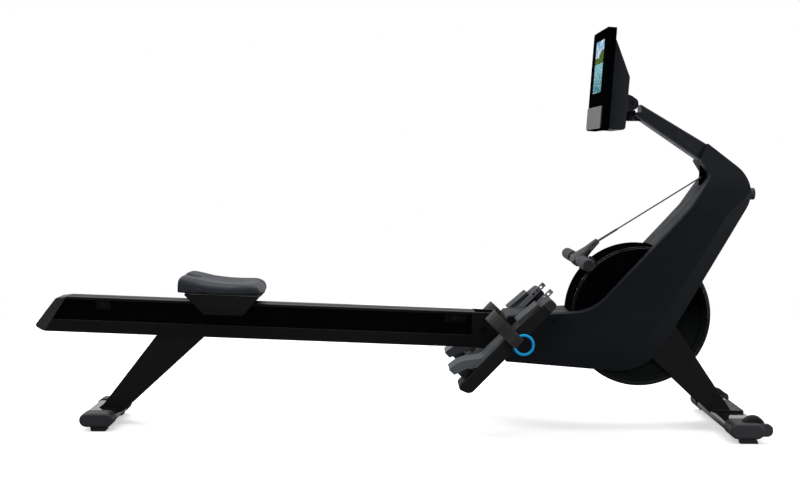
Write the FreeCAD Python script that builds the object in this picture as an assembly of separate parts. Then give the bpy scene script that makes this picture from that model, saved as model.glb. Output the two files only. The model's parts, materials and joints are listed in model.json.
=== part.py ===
import FreeCAD, Part
import math
import os

# Rowing machine: a folding rail with a rolling seat, a housed flywheel unit with a tilting display,
# a strap-driven handle and two pivoting foot pedals. Millimetres. +X runs from the rail's rear tip
# towards the flywheel, +Z is up, and +Y is to the left of a rower who sits facing the flywheel.
# "left" and "right" parts are the rower's. The origin is the middle of the footprint, on the floor.

# ---------------------------------------------------------------- driving dimensions
RAIL_TOP_REAR = (-992.5, 393.4)      # where the rail's top face begins, in side view (x, z)
RAIL_SLOPE = 1.85                    # degrees, the rail falls towards the flywheel
RAIL_LENGTH = 1235.0
RAIL_HEIGHT = 107.6
RAIL_HALF = 45.0                     # half the rail's width
RECESS_HALF = 34.0                   # half-width between the two side recesses
RECESS_TOP = 7.0
RECESS_BOTTOM = 71.0
RAIL_WALL = 4.0
FOLD_PIVOT = (268.0, 300.0)          # hinge pin of the folding rail

SHELL_HALF = 100.0                   # housing: flat side face
RIM_HALF = 88.0                      # housing: where the bevel meets the rim
SHELL_WALL = 4.0
SPLIT_GAP = 0.15                     # half the seam between the two housing shells

DRUM = (741.0, 349.0)                # flywheel centre in side view
DRUM_RADIUS = 215.0
DRUM_HALF = 75.0
REEL = (836.0, 469.0)                # strap reel centre
REEL_RADIUS = 30.0
BRAKE_PIVOT = (588.0, 440.0)
FLYWHEEL_RADIUS = 140.0
FRAME_PLATE = (76.0, 80.0)           # frame side plates, distance from the middle plane
LEG_PLATE = (80.0, 84.0)             # front leg side plates

PEDAL_PIVOT = (352.0, 280.0)
PEDAL_ANGLE = 46.0                   # degrees, toe end up
PEDAL_INNER = 110.0
PEDAL_OUTER = 225.0
RIGHT_CROWN = 109.0                     # height of each foot strap's arch; the left one hangs slacker
LEFT_CROWN = 93.0

PULLEY = (967.2, 756.5)              # guide pulley centre
STRAP_RADIUS = 29.0                  # middle of the strap round the pulley
STRAP_ANGLE = 32.3                   # degrees, the resting strap below level
STRAP_HALF_WIDTH = 12.0
STRAP_THICKNESS = 2.0
HANDLE = (557.0, 515.0)              # handle bar centre
STRAP_END = (612.0, 566.0)           # where the strap enters the yoke

TILT = (713.6, 989.9)                # display tilt axis
DISPLAY_LEAN = 3.74                  # degrees, top away from the rower
DISPLAY_FOOT = (600.2, 909.2)        # lower front corner of the display slab

SEAT_CENTRE = -523.0                 # middle of the seat carriage along X
SEAT_BASE = 30.0                     # underside of the pad above the rail's top face
ROLLER_OFFSET = 60.0                 # rollers before and behind the middle
WHEEL = (1046.0, 44.0)
WHEEL_RADIUS = 34.0
TAPER_START = 700.0                     # height above which the column narrows towards the post
TAPER_END = 880.0
TAPER_DEPTH = 62.0
RUNNING_GAP = 0.05                   # radial play of a running fit
CLEARANCE = 0.3
SEAM = 0.02                          # between two pieces welded face to face

# Foot bars: x and z limits. Outlines: side-view corners (x, z, corner radius), in millimetres.
REAR_FOOT = (-943.7, -842.9, 13.6, 54.9)
FRONT_FOOT = (972.8, 1073.6, 13.9, 59.8)
RIM_OUTLINE = [(331, 209, 8), (331, 352, 10), (593, 365, 140), (885, 683, 60), (948, 775, 20),
               (918, 817, 3), (941, 872, 3), (1093, 749, 100), (762, 175, 170)]
FACE_OUTLINE = [(335, 243, 8), (335, 348, 8), (594.5, 361, 140), (888, 680.5, 60), (951.5, 775, 18),
                (923, 817, 3), (943, 860, 3), (1055, 762, 72), (737, 236, 150)]
LEG_OUTLINE = [(735, 262, 0), (815, 364, 0), (1018, 64.3, 0), (968, 64.3, 0), (955, 56, 0)]
TONGUE = (318.0, 518.0, 228.0, 320.0)
TONGUE_HALF = 40.0
POST_HALF = 36.0
POST_OUTLINE = [(733, 991, 3), (950, 863, 20), (1008, 808, 30), (1038, 758, 20), (1038, 716, 0),
                (1004.5, 716, 0), (1004.5, 765, 20), (983, 796, 20), (932, 812, 10), (718, 956, 3)]

Y_AXIS = FreeCAD.Vector(0, 1, 0)
ORIGIN = FreeCAD.Vector(0, 0, 0)


# ---------------------------------------------------------------- helpers
def rounded_wire(corners, y=0.0):
    """Closed wire in the plane Y = y. Each corner is (x, z, radius)."""
    points = [FreeCAD.Vector(x, y, z) for x, z, _ in corners]
    starts = []
    middles = []
    ends = []
    for index, (_, _, radius) in enumerate(corners):
        here = points[index]
        back = (points[index - 1] - here).normalize()
        ahead = (points[(index + 1) % len(points)] - here).normalize()
        half = back.getAngle(ahead) / 2
        if radius <= 0:
            starts.append(here)
            middles.append(None)
            ends.append(here)
            continue
        reach = radius / math.tan(half)
        centre = here + (back + ahead).normalize() * (radius / math.sin(half))
        starts.append(here + back * reach)
        middles.append(centre + (here - centre).normalize() * radius)
        ends.append(here + ahead * reach)
    edges = []
    for index in range(len(points)):
        if middles[index] is not None:
            edges.append(Part.Arc(starts[index], middles[index], ends[index]).toShape())
        following = starts[(index + 1) % len(points)]
        if ends[index].distanceToPoint(following) > 1e-4:
            edges.append(Part.LineSegment(ends[index], following).toShape())
    return Part.Wire(edges)


def slab(corners, y_low, y_high):
    """Side-view outline with rounded corners, extruded from y_low to y_high."""
    face = Part.Face(rounded_wire(corners, y_low))
    return face.extrude(FreeCAD.Vector(0, y_high - y_low, 0))


def pair(corners, inner, outer):
    """The same slab on both sides of the middle plane."""
    return [slab(corners, inner, outer), slab(corners, -outer, -inner)]


def inset(corners, distance):
    """Move an outline's straight sides inwards; the corners run clockwise in side view."""
    moved = []
    count = len(corners)
    for index, (x, z, radius) in enumerate(corners):
        x0, z0, _ = corners[index - 1]
        x2, z2, _ = corners[(index + 1) % count]
        first = math.atan2(z - z0, x - x0)
        second = math.atan2(z2 - z, x2 - x)
        turn = (second - first + math.pi) % (2 * math.pi) - math.pi
        middle = first + turn / 2 - math.pi / 2
        reach = distance / math.cos(turn / 2)
        change = -distance if turn < 0 else distance
        new_radius = max(radius + change, 0.5) if radius > 0 else 0.0
        moved.append((x + reach * math.cos(middle), z + reach * math.sin(middle), new_radius))
    return moved


def disc(x, z, radius, y_low, y_high):
    """Cylinder along Y."""
    return Part.makeCylinder(radius, y_high - y_low, FreeCAD.Vector(x, y_low, z), Y_AXIS)


def block(x_low, x_high, y_low, y_high, z_low, z_high):
    size = (x_high - x_low, y_high - y_low, z_high - z_low)
    return Part.makeBox(*size, FreeCAD.Vector(x_low, y_low, z_low))


def mirrored(shape):
    return shape.mirror(ORIGIN, Y_AXIS)


def pitched(shape, place, degrees_up):
    """Turn a part made at the origin so its +X end rises, then move it to (x, z)."""
    turned = shape.copy()
    turned.rotate(ORIGIN, Y_AXIS, -degrees_up)
    turned.translate(FreeCAD.Vector(place[0], 0, place[1]))
    return turned


def on_rail(shape):
    """From rail coordinates (along, y, above the top face) to the machine."""
    return pitched(shape, RAIL_TOP_REAR, -RAIL_SLOPE)


def along_rail(x):
    """Distance along the rail of a point on its top face."""
    return (x - RAIL_TOP_REAR[0]) / math.cos(math.radians(RAIL_SLOPE))


def on_pedal(shape):
    """From pedal coordinates (towards the toe, y, above the plate) to the machine."""
    return pitched(shape, PEDAL_PIVOT, PEDAL_ANGLE)


def rounded(shape, radius, chosen):
    """Fillet the edges that the test picks."""
    edges = [edge for edge in shape.Edges if chosen(edge)]
    return shape.makeFillet(radius, edges)


def lies_across(edge):
    """True for an edge that keeps one Y."""
    box = edge.BoundBox
    return box.YLength < 1e-6


def save(name, shapes):
    """Write one node: a solid, or a group of separate solids."""
    solids = []
    for shape in shapes if isinstance(shapes, list) else [shapes]:
        solids.extend(shape.Solids)
    for solid in solids:
        if not solid.isValid() or solid.Volume <= 0:
            print("BAD SOLID", name)
    result = solids[0] if len(solids) == 1 else Part.makeCompound(solids)
    result.exportStep("parts/" + name + ".step")
    box = result.BoundBox
    print(f"{name:24s} {len(solids):2d} x {box.XMin:8.1f}{box.XMax:8.1f} y {box.YMin:7.1f}{box.YMax:7.1f}"
          f" z {box.ZMin:7.1f}{box.ZMax:7.1f}")


# ---------------------------------------------------------------- rail
def rail_tube(half_width, top, bottom):
    """Rectangular hollow length in rail coordinates."""
    wall = RAIL_WALL
    outer = block(-90, RAIL_LENGTH, -half_width, half_width, bottom, top)
    inner = block(-91, RAIL_LENGTH + 1, -half_width + wall, half_width - wall, bottom + wall, top - wall)
    return outer.cut(inner)


def rail_extrusion():
    """Track strip, narrow core tube and wide lower tube, cut at a slant at the rear."""
    track = block(-90, RAIL_LENGTH, -RAIL_HALF, RAIL_HALF, -RECESS_TOP, 0)
    core = rail_tube(RECESS_HALF, -RECESS_TOP - SEAM, -RECESS_BOTTOM + SEAM)
    band = rail_tube(RAIL_HALF, -RECESS_BOTTOM, -RAIL_HEIGHT)
    slant = slab([(-200, 5, 0), (-8.0, 5, 0), (-75.0, -RAIL_HEIGHT - 0.01, 0),
                  (-200, -RAIL_HEIGHT - 20, 0)], -60, 60)
    return [on_rail(length.cut(slant)) for length in (track, core, band)]


def rail_rear_cap():
    """Moulded end cap with a long slanted nose."""
    gap = 0.2
    outline = [(-11.4 - gap, 0, 0), (-42.7, -4.5, 14), (-106.6, -93, 9), (-84.0, -104.8, 6),
               (-75.2 - gap, -RAIL_HEIGHT, 0)]
    cap = slab(outline, -RAIL_HALF - 1, RAIL_HALF + 1)
    return on_rail(rounded(cap, 3.0, lambda edge: lies_across(edge) and edge.BoundBox.XMin < -76))


def rail_hinge_block():
    """Steel block in the rail's front end; its boss turns on the fold pin."""
    slope = math.radians(RAIL_SLOPE)
    dx = FOLD_PIVOT[0] - RAIL_TOP_REAR[0]
    dz = FOLD_PIVOT[1] - RAIL_TOP_REAR[1]
    along = dx * math.cos(slope) - dz * math.sin(slope)
    above = dx * math.sin(slope) + dz * math.cos(slope)
    boss = 22.0
    half = RECESS_HALF - RAIL_WALL - CLEARANCE
    sole = above - 13.5
    tongue = slab([(along - 120, above + boss, 2), (along, above + boss, 0), (along, sole, 0),
                   (along - 120, sole, 2)], -half, half)
    barrel = disc(along, above, boss, -RAIL_HALF, RAIL_HALF)
    bore = disc(along, above, 10 + RUNNING_GAP, -60, 60)
    return on_rail(tongue.fuse(barrel).cut(bore).removeSplitter())


def seat_stops():
    """Blocks in the side recesses that the lower rollers meet at each end."""
    stops = []
    for x_low, x_high in ((-912.0, -870.0), (150.0, 216.0)):
        start = along_rail(x_low)
        end = along_rail(x_high)
        outline = [(start, -9, 3), (end, -9, 3), (end, -34, 3), (start, -34, 3)]
        for shape in pair(outline, RECESS_HALF + 0.1, RAIL_HALF - 3):
            stops.append(on_rail(shape))
    return stops


def oval_bar(x_low, x_high, z_low, z_high, y_low, y_high, shrink=0.0):
    """Flat-oval prism along Y."""
    height = z_high - z_low - 2 * shrink
    radius = height / 2 - 0.01
    corners = [(x_low + shrink, z_high - shrink, radius), (x_high - shrink, z_high - shrink, radius),
               (x_high - shrink, z_low + shrink, radius), (x_low + shrink, z_low + shrink, radius)]
    return slab(corners, y_low, y_high)


def foot_bar(bounds, reach):
    """Oval steel tube of a foot, open at both ends inside its caps."""
    return oval_bar(*bounds, -reach, reach, 2.5).cut(oval_bar(*bounds, -reach - 1, reach + 1, 5.5))


def foot_cap(bounds, start, tube_end, end):
    """Plastic cap that sleeves over one end of a foot bar, with a rounded outer end."""
    cap = oval_bar(*bounds, start, end)
    cap = rounded(cap, 7.0, lambda edge: lies_across(edge) and edge.BoundBox.YMin > end - 0.01)
    return cap.cut(oval_bar(*bounds, start - 1, tube_end + 0.1, 2.4))


def rear_leg():
    """Tapered channel, open towards the flywheel, that wraps over the rear foot bar."""
    rear_top = (-730.0, 277.0)
    rear_foot = (-893.0, 64.0)
    body = slab([(*rear_top, 0), (-584.0, 272.2, 0), (-833.0, 42.0, 8), (-850.0, 36.0, 0), (-908.0, 52.0, 0),
                 (*rear_foot, 0)], -40, 40)
    hollow = slab([(rear_top[0] + 6, 290, 0), (-500, 290, 0), (-740, -10, 0), (-915, 0, 0),
                   (rear_foot[0] + 6, rear_foot[1] - 2, 0)], -36, 36)
    bar = oval_bar(*REAR_FOOT, -60, 60, 2.4)
    return body.cut(hollow).cut(bar)


def build_rail():
    save("rail_extrusion", rail_extrusion())
    save("rail_rear_cap", rail_rear_cap())
    save("rail_hinge_block", rail_hinge_block())
    save("seat_stops", seat_stops())
    save("rear_leg", rear_leg())
    save("rear_foot_bar", foot_bar(REAR_FOOT, 140))
    cap = foot_cap(REAR_FOOT, 96, 140, 155)
    save("rear_foot_caps", [cap, mirrored(cap)])
    pad = slab([(-912, 13.5, 0), (-864, 13.5, 0), (-866, 0, 2), (-910, 0, 2)], 104, 146)
    save("rear_foot_pads", [pad, mirrored(pad)])


# ---------------------------------------------------------------- seat
def seat_pad():
    """Plain saddle-shaped pad: raised at the rear, dipped down the middle, lower at the front."""
    stations = [(-146, 8, 6, 128), (-135, 51, 30, 134), (-95, 43, 25, 140), (0, 31, 20, 142),
                (90, 29, 20, 139), (121, 24, 17, 130), (131, 12, 10, 122)]
    sections = []
    for along, horn, middle, half in stations:
        shoulder = (horn + middle) / 2
        wall = max(horn - 16, 3)
        points = [(-half, 2), (-half, wall), (-half + 22, horn), (-half * 0.5, shoulder), (0, middle),
                  (half * 0.5, shoulder), (half - 22, horn), (half, wall), (half, 2)]
        corners = [FreeCAD.Vector(along, y, z) for y, z in points]
        sections.append(Part.makePolygon(corners + corners[:1]))
    return on_rail_at_seat(Part.makeLoft(sections, True, True), SEAT_BASE)


def on_rail_at_seat(shape, above):
    """From seat coordinates (0 at the carriage's middle) to the machine."""
    moved = shape.copy()
    moved.translate(FreeCAD.Vector(along_rail(SEAT_CENTRE), 0, above))
    return on_rail(moved)


def seat_carriage():
    """Top plate and two side skirts, with the roller axles welded between them."""
    plate_under = 25.4
    weld = plate_under - SEAM
    parts = [block(-113, 113, -70, 70, plate_under, 29.6)]
    parts += pair([(-109.6, weld, 0), (109.6, weld, 0), (58, -38, 8), (-58, -38, 8)], 47.5, 51.5)
    reach = 47.5 - SEAM
    for offset in (-ROLLER_OFFSET, ROLLER_OFFSET):
        parts.append(disc(offset, 12.3, 4, -reach, reach))
        parts.append(disc(offset, -17.2, 3, 35.0, reach))
        parts.append(disc(offset, -17.2, 3, -reach, -35.0))
    return [on_rail_at_seat(part, 0) for part in parts]


def upper_rollers(offset):
    rollers = []
    for middle in (-24.0, 24.0):
        wheel = disc(offset, 12.3, 11.9, middle - 9, middle + 9)
        wheel = wheel.cut(disc(offset, 12.3, 4 + RUNNING_GAP, -60, 60))
        rollers.append(on_rail_at_seat(wheel, 0))
    return rollers


def lower_rollers(offset):
    rollers = []
    for low, high in ((36.0, 44.0), (-44.0, -36.0)):
        wheel = disc(offset, -17.2, 9.8, low, high)
        wheel = wheel.cut(disc(offset, -17.2, 3 + RUNNING_GAP, -60, 60))
        rollers.append(on_rail_at_seat(wheel, 0))
    return rollers


def build_seat():
    save("seat_pad", seat_pad())
    save("seat_carriage", seat_carriage())
    save("upper_rollers_rear", upper_rollers(-ROLLER_OFFSET))
    save("upper_rollers_front", upper_rollers(ROLLER_OFFSET))
    save("lower_rollers_rear", lower_rollers(-ROLLER_OFFSET))
    save("lower_rollers_front", lower_rollers(ROLLER_OFFSET))


# ---------------------------------------------------------------- housing
def column_envelope(half_width):
    """Room seen from the rear: straight side, then narrowing towards the post on a large radius."""
    envelope = slab([(-half_width, 100, 0), (-half_width, TAPER_START, 400),
                     (-half_width + TAPER_DEPTH, TAPER_END, 0), (5, TAPER_END, 0), (5, 100, 0)], -1200, -300)
    envelope.rotate(ORIGIN, FreeCAD.Vector(0, 0, 1), 90)
    return envelope


def shell_blank(face_half, rim_half, thinner):
    """One side of the housing as a full solid: flat rim, then a bevel up to the side face."""
    rim = inset(RIM_OUTLINE, thinner) if thinner else RIM_OUTLINE
    face = inset(FACE_OUTLINE, thinner) if thinner else FACE_OUTLINE
    body = slab(rim, -rim_half, -SPLIT_GAP)
    bevel = Part.makeLoft([rounded_wire(rim, -rim_half), rounded_wire(face, -face_half)], True, True)
    return body.fuse(bevel).common(column_envelope(face_half + 1))


def housing_right():
    """Right shell with its bevel, openings and screw holes. The left one is its mirror image."""
    shell = shell_blank(SHELL_HALF, RIM_HALF, 0)
    cavity = shell_blank(SHELL_HALF - SHELL_WALL, RIM_HALF - 1.5, SHELL_WALL)
    cavity = cavity.fuse(slab(inset(RIM_OUTLINE, SHELL_WALL), -20, 5))
    shell = shell.cut(cavity)
    shell = shell.cut(disc(*DRUM, DRUM_RADIUS + 2, -DRUM_HALF - 1, 5))
    shell = shell.cut(slab(LEG_OUTLINE, -LEG_PLATE[1] - CLEARANCE, -LEG_PLATE[0] + CLEARANCE))
    x_low, x_high, z_low, z_high = TONGUE
    shell = shell.cut(block(x_low, 350, -TONGUE_HALF - 1, 5, z_low - 1, z_high + 1))
    shell = shell.cut(disc(*PEDAL_PIVOT, 9, -120, 5))
    shell = shell.cut(slab(POST_OUTLINE_WIDE, -POST_HALF - 0.5, 5))
    shell = shell.cut(block(900, 962, -21, 5, 743.5, 803.5))
    shell = shell.cut(Part.makeCylinder(11, 60, FreeCAD.Vector(1040, 0, 718.5), FreeCAD.Vector(1, 0, 0)))
    shell = shell.cut(block(636, 664, -13, 5, 170, 205))
    return max(shell.Solids, key=lambda solid: solid.Volume)


POST_OUTLINE_WIDE = inset(POST_OUTLINE, -0.5)


def display_post():
    """Flat box tube from the column up to the display, with the swivel socket on its end."""
    post = slab(POST_OUTLINE, -POST_HALF, POST_HALF)
    post = rounded(post, 6.0, lies_across)
    socket = Part.makeCylinder(17, 26, FreeCAD.Vector(TILT[0], 0, 938))
    body = post.fuse(socket).fuse(slab([(705, 962, 0), (735, 962, 0), (760, 950, 0), (760, 938, 0),
                                        (712, 938, 0)], -14, 14))
    hole = Part.makeCylinder(8 + RUNNING_GAP, 60, FreeCAD.Vector(TILT[0], 0, 944))
    top_cut = block(TILT[0] - 23, TILT[0] + 26, -40, 40, 964, 1020)
    return body.cut(hole).cut(top_cut)


def main_frame():
    """Welded frame: tongue tube, two side plates round the flywheel, column uprights."""
    x_low, x_high, z_low, z_high = TONGUE
    tube = block(x_low, x_high, -TONGUE_HALF, TONGUE_HALF, z_low, z_high)
    tube = tube.cut(block(x_low - 1, x_high - 4, -TONGUE_HALF + 4, TONGUE_HALF - 4, z_low + 4, z_high - 4))
    cross = block(508, 518, -FRAME_PLATE[0], FRAME_PLATE[0], 232, 318)
    frame = tube.fuse(cross)
    side = [(482, 226, 10), (482, 332, 10), (560, 336, 40), (655, 408, 40), (835, 600, 20), (980, 600, 20),
            (812, 312, 60), (735, 228, 60), (640, 204, 60)]
    for plate in pair(side, *FRAME_PLATE):
        frame = frame.fuse(plate)
    foot = [(878, 556, 0), (950, 511, 0), (945, 503, 0), (873, 548, 0)]
    frame = frame.fuse(slab(foot, -FRAME_PLATE[0], FRAME_PLATE[0]))
    frame = frame.cut(block(870, 960, -16, 16, 495, 562))
    upright = [(955, 745, 6), (955, 768, 6), (975, 788, 6), (1003, 764, 0), (1003, 714, 0), (1038, 714, 0),
               (930, 520, 0), (895, 542, 0)]
    for bar in pair(upright, 22, 34):
        frame = frame.fuse(bar)
    for place, radius in ((DRUM, 10), (PEDAL_PIVOT, 8.0), (PULLEY, 6), (REEL, 8)):
        frame = frame.cut(disc(*place, radius + 0.02, -90, 90))
    return frame.removeSplitter()


def hinge_fork():
    """Two cheek plates and a back plate, bolted to the tongue; the rail folds between them."""
    cheek = [(232, 354.5, 8), (312, 351, 6), (317.9, 345, 0), (317.9, 247, 0), (262, 243, 10), (232, 250, 10)]
    fork = block(313, 317.9, -50, 50, 240, 318)
    for plate in pair(cheek, 45.6, 51.6):
        fork = fork.fuse(plate)
    return fork.cut(disc(*FOLD_PIVOT, 10.02, -60, 60)).removeSplitter()


def flywheel_casing(side):
    """Half of the drum: a dished disc with a rounded rim."""
    drum = disc(*DRUM, DRUM_RADIUS, -DRUM_HALF, -SPLIT_GAP)
    rim = [edge for edge in drum.Edges if lies_across(edge) and edge.BoundBox.YMin < -DRUM_HALF + 0.01]
    drum = drum.makeFillet(16, rim)
    dish = disc(*DRUM, DRUM_RADIUS - 30, -DRUM_HALF - 1, -DRUM_HALF + 5)
    drum = drum.cut(dish)
    inner = disc(*DRUM, DRUM_RADIUS - 4, -DRUM_HALF + 9, 5)
    drum = drum.cut(inner)
    drum = drum.cut(disc(*DRUM, 10.02, -90, 5)).cut(disc(*REEL, 8.02, -90, 5))
    slot = slab([(840, 500, 0), (850, 590, 0), (930, 590, 0), (925, 490, 0)], -18, 5)
    drum = drum.cut(slot)
    return drum if side < 0 else mirrored(drum)


def pulley_bezel():
    """Dark lip round the strap's way out of the column."""
    outer = slab([(928, 744, 8), (931, 803, 8), (953, 803, 8), (953, 744, 8)], -20.6, 20.6)
    inner = slab([(900, 752, 5), (900, 796, 5), (990, 796, 5), (990, 752, 5)], -16, 16)
    shape = outer.cut(inner)
    rim = slab(inset(RIM_OUTLINE, SHELL_WALL), -60, 60)
    pulley_room = disc(*PULLEY, STRAP_RADIUS + 2.5, -16.5, 16.5)
    return shape.cut(rim).cut(pulley_room)


def knob():
    """Ribbed knob on the back of the column."""
    axis = FreeCAD.Vector(1, 0, 0)
    neck = Part.makeCylinder(10, 30, FreeCAD.Vector(1050, 0, 718.5), axis)
    head = Part.makeCylinder(18, 17, FreeCAD.Vector(1079, 0, 718.5), axis)
    head = head.makeFillet(3, [edge for edge in head.Edges if edge.BoundBox.XLength < 1e-6])
    count = 18
    for index in range(count):
        angle = 2 * math.pi * index / count
        spot = FreeCAD.Vector(1078, 18.6 * math.cos(angle), 718.5 + 18.6 * math.sin(angle))
        head = head.cut(Part.makeCylinder(1.6, 20, spot, axis))
    return neck.fuse(head)


def front_leg():
    """Fork of two plates past the flywheel, joined by a front web and a base plate."""
    web = [(925.5, 200.9, 0), (1018, 64.3, 0), (1010, 64.3, 0), (921.5, 196, 0)]
    leg = slab(web, -LEG_PLATE[0], LEG_PLATE[0])
    for plate in pair(LEG_OUTLINE, *LEG_PLATE):
        leg = leg.fuse(plate)
    base = block(962, 1056, -92, 92, 57.6, 64.3)
    leg = leg.fuse(base)
    leg = leg.cut(oval_bar(*FRONT_FOOT, -100, 100, 2.4))
    return leg.removeSplitter()


def front_foot_cap():
    """Cap with a notch and a rounded guard for the transport wheel, and a bore for its axle."""
    cap = foot_cap(FRONT_FOOT, 192, 216, 279.5)
    guard = slab([(1060, 58, 0), (1096, 58, 16), (1096, 22, 16), (1060, 22, 0)], 258, 276)
    cap = cap.fuse(guard).cut(disc(*WHEEL, WHEEL_RADIUS + 2.5, 224, 256))
    return cap.cut(disc(*WHEEL, 4.02, 214.9, 266))


def transport_wheel():
    """Hard wheel with a shallow groove on each face."""
    wheel = disc(*WHEEL, WHEEL_RADIUS, 227, 253)
    wheel = wheel.makeFillet(4, [edge for edge in wheel.Edges if lies_across(edge)])
    ring_low = disc(*WHEEL, 24, 226, 231).cut(disc(*WHEEL, 12, 226, 231))
    ring_high = disc(*WHEEL, 24, 249, 254).cut(disc(*WHEEL, 12, 249, 254))
    return wheel.cut(ring_low).cut(ring_high).cut(disc(*WHEEL, 4 + RUNNING_GAP, 220, 260))


def strap_direction():
    angle = math.radians(STRAP_ANGLE)
    return -math.cos(angle), -math.sin(angle)


def strap_tangent():
    """Where the strap leaves the guide pulley."""
    dx, dz = strap_direction()
    return PULLEY[0] + STRAP_RADIUS * dz, PULLEY[1] - STRAP_RADIUS * dx


def strip(start, end, thickness, y_low, y_high):
    """Straight flat strip between two side-view points."""
    length = math.hypot(end[0] - start[0], end[1] - start[1])
    angle = math.degrees(math.atan2(end[1] - start[1], end[0] - start[0]))
    body = block(0, length, y_low, y_high, -thickness / 2, thickness / 2)
    return pitched(body, start, angle)


def inner_strap():
    """The strap over the guide pulley and down inside the column to its reel."""
    half_thickness = STRAP_THICKNESS / 2
    ring = disc(*PULLEY, STRAP_RADIUS + half_thickness, -STRAP_HALF_WIDTH, STRAP_HALF_WIDTH)
    ring = ring.cut(disc(*PULLEY, STRAP_RADIUS - half_thickness, -20, 20))
    span = math.hypot(PULLEY[0] - REEL[0], PULLEY[1] - REEL[1])
    across = ((PULLEY[1] - REEL[1]) / span, (REEL[0] - PULLEY[0]) / span)
    top = (PULLEY[0] + STRAP_RADIUS * across[0], PULLEY[1] + STRAP_RADIUS * across[1])
    bottom_radius = REEL_RADIUS + half_thickness
    bottom = (REEL[0] + bottom_radius * across[0], REEL[1] + bottom_radius * across[1])
    tangent_x, tangent_z = strap_tangent()
    sector = slab([(*PULLEY, 0), (tangent_x * 2 - PULLEY[0], tangent_z * 2 - PULLEY[1], 0),
                   (PULLEY[0] + 80, PULLEY[1] + 80, 0),
                   (PULLEY[0] + 60 * across[0], PULLEY[1] + 60 * across[1], 0)], -15, 15)
    run = strip(top, bottom, STRAP_THICKNESS, -STRAP_HALF_WIDTH, STRAP_HALF_WIDTH)
    return ring.common(sector).fuse(run).removeSplitter()


def pull_strap():
    dx, dz = strap_direction()
    tangent = strap_tangent()
    length = (tangent[0] - STRAP_END[0]) / -dx
    end = (tangent[0] + dx * length, tangent[1] + dz * length)
    return strip(tangent, end, STRAP_THICKNESS, -STRAP_HALF_WIDTH, STRAP_HALF_WIDTH)


def grooved_pulley(place, radius, half, flange, bore):
    """Pulley with a flange at each side."""
    wheel = disc(*place, radius, -half, half)
    for low, high in ((-half - 2, -half), (half, half + 2)):
        wheel = wheel.fuse(disc(*place, radius + flange, low, high))
    return wheel.cut(disc(*place, bore + RUNNING_GAP, -60, 60)).removeSplitter()


def strap_reel():
    """Spool for the strap, with the large belt pulley beside it."""
    spool = grooved_pulley(REEL, REEL_RADIUS, STRAP_HALF_WIDTH + 1, 8, 8)
    wheel = disc(*REEL, 50, 20, 32).cut(disc(*REEL, 8 + RUNNING_GAP, 10, 40))
    sleeve = disc(*REEL, 14, 15, 20).cut(disc(*REEL, 8 + RUNNING_GAP, 10, 40))
    return spool.fuse(wheel).fuse(sleeve).removeSplitter()


def flywheel():
    """Heavy wheel with its small belt pulley."""
    wheel = disc(*DRUM, FLYWHEEL_RADIUS, -58, -34)
    web = FLYWHEEL_RADIUS - 30
    wheel = wheel.cut(disc(*DRUM, web, -60, -52)).cut(disc(*DRUM, web, -40, -30))
    wheel = wheel.fuse(disc(*DRUM, 28, -60, 18)).fuse(disc(*DRUM, 20, 18, 34))
    return wheel.cut(disc(*DRUM, 10 + RUNNING_GAP, -70, 60)).removeSplitter()


def drive_belt():
    """Ribbed belt round the reel's large pulley and the flywheel's small one."""
    def loop(extra):
        big = disc(*REEL, 50 + extra, 21, 31)
        small = disc(*DRUM, 20 + extra, 21, 31)
        dx = REEL[0] - DRUM[0]
        dz = REEL[1] - DRUM[1]
        distance = math.hypot(dx, dz)
        lean = math.asin(30.0 / distance)
        base = math.atan2(dz, dx)
        corners = []
        for side in (1, -1):
            angle = base + side * (math.pi / 2 + lean)
            across = (math.cos(angle), math.sin(angle))
            for place, radius in ((DRUM, 20 + extra), (REEL, 50 + extra)):
                corners.append((place[0] + radius * across[0], place[1] + radius * across[1], 0))
        ordered = [corners[0], corners[1], corners[3], corners[2]]
        return big.fuse(small).fuse(slab(ordered, 21, 31))
    return loop(3.2).cut(loop(0.4))


def brake_yoke():
    """Magnet carrier that swings over the flywheel's rim."""
    arm = slab([(616, 380, 0), (640, 416, 8), (600, 446, 6), (584, 420, 6)], -64, -28)
    gap = slab([(600, 340, 0), (700, 340, 0), (700, 470, 0), (616, 440, 0), (608, 395, 0)], -59.5, -32.5)
    lug = disc(*BRAKE_PIVOT, 9, -64, -28)
    body = arm.fuse(lug).cut(gap)
    body = body.cut(disc(*DRUM, FLYWHEEL_RADIUS + 1.5, -60, -32))
    body = body.cut(disc(DRUM[0] - 7, DRUM[1], FLYWHEEL_RADIUS + 1.5, -60, -32))
    return max(body.cut(disc(*BRAKE_PIVOT, 4 + RUNNING_GAP, -70, 0)).Solids, key=lambda solid: solid.Volume)


def drive_axles():
    """Steel axles of the flywheel, strap reel, guide pulley and brake."""
    half = FRAME_PLATE[1]
    return [disc(*DRUM, 10, -half, half), disc(*REEL, 8, -half, half), disc(*PULLEY, 6, -34, 34),
            disc(*BRAKE_PIVOT, 4, -66, -22)]


def brake_motor():
    """Small motor box that drives the brake carrier."""
    return slab([(556, 330, 4), (556, 376, 4), (584, 376, 4), (584, 330, 4)], -56, -22)


def handle_cradle():
    """Two hooks on a bracket that hold the handle against the strap's pull."""
    hooks = []
    arm = [(548, 492, 4), (558, 500, 0), (576, 505, 0), (584, 530, 4), (592, 528, 4), (606, 508, 4),
           (602, 486, 4)]
    for low, high in ((62.0, 74.0), (-74.0, -62.0)):
        hook = slab(arm, low, high)
        hook = hook.cut(disc(*HANDLE, 12.5, -90, 90))
        hook = hook.cut(disc(*DRUM, DRUM_RADIUS + CLEARANCE, -90, 90))
        hooks.append(hook)
    return hooks


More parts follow.
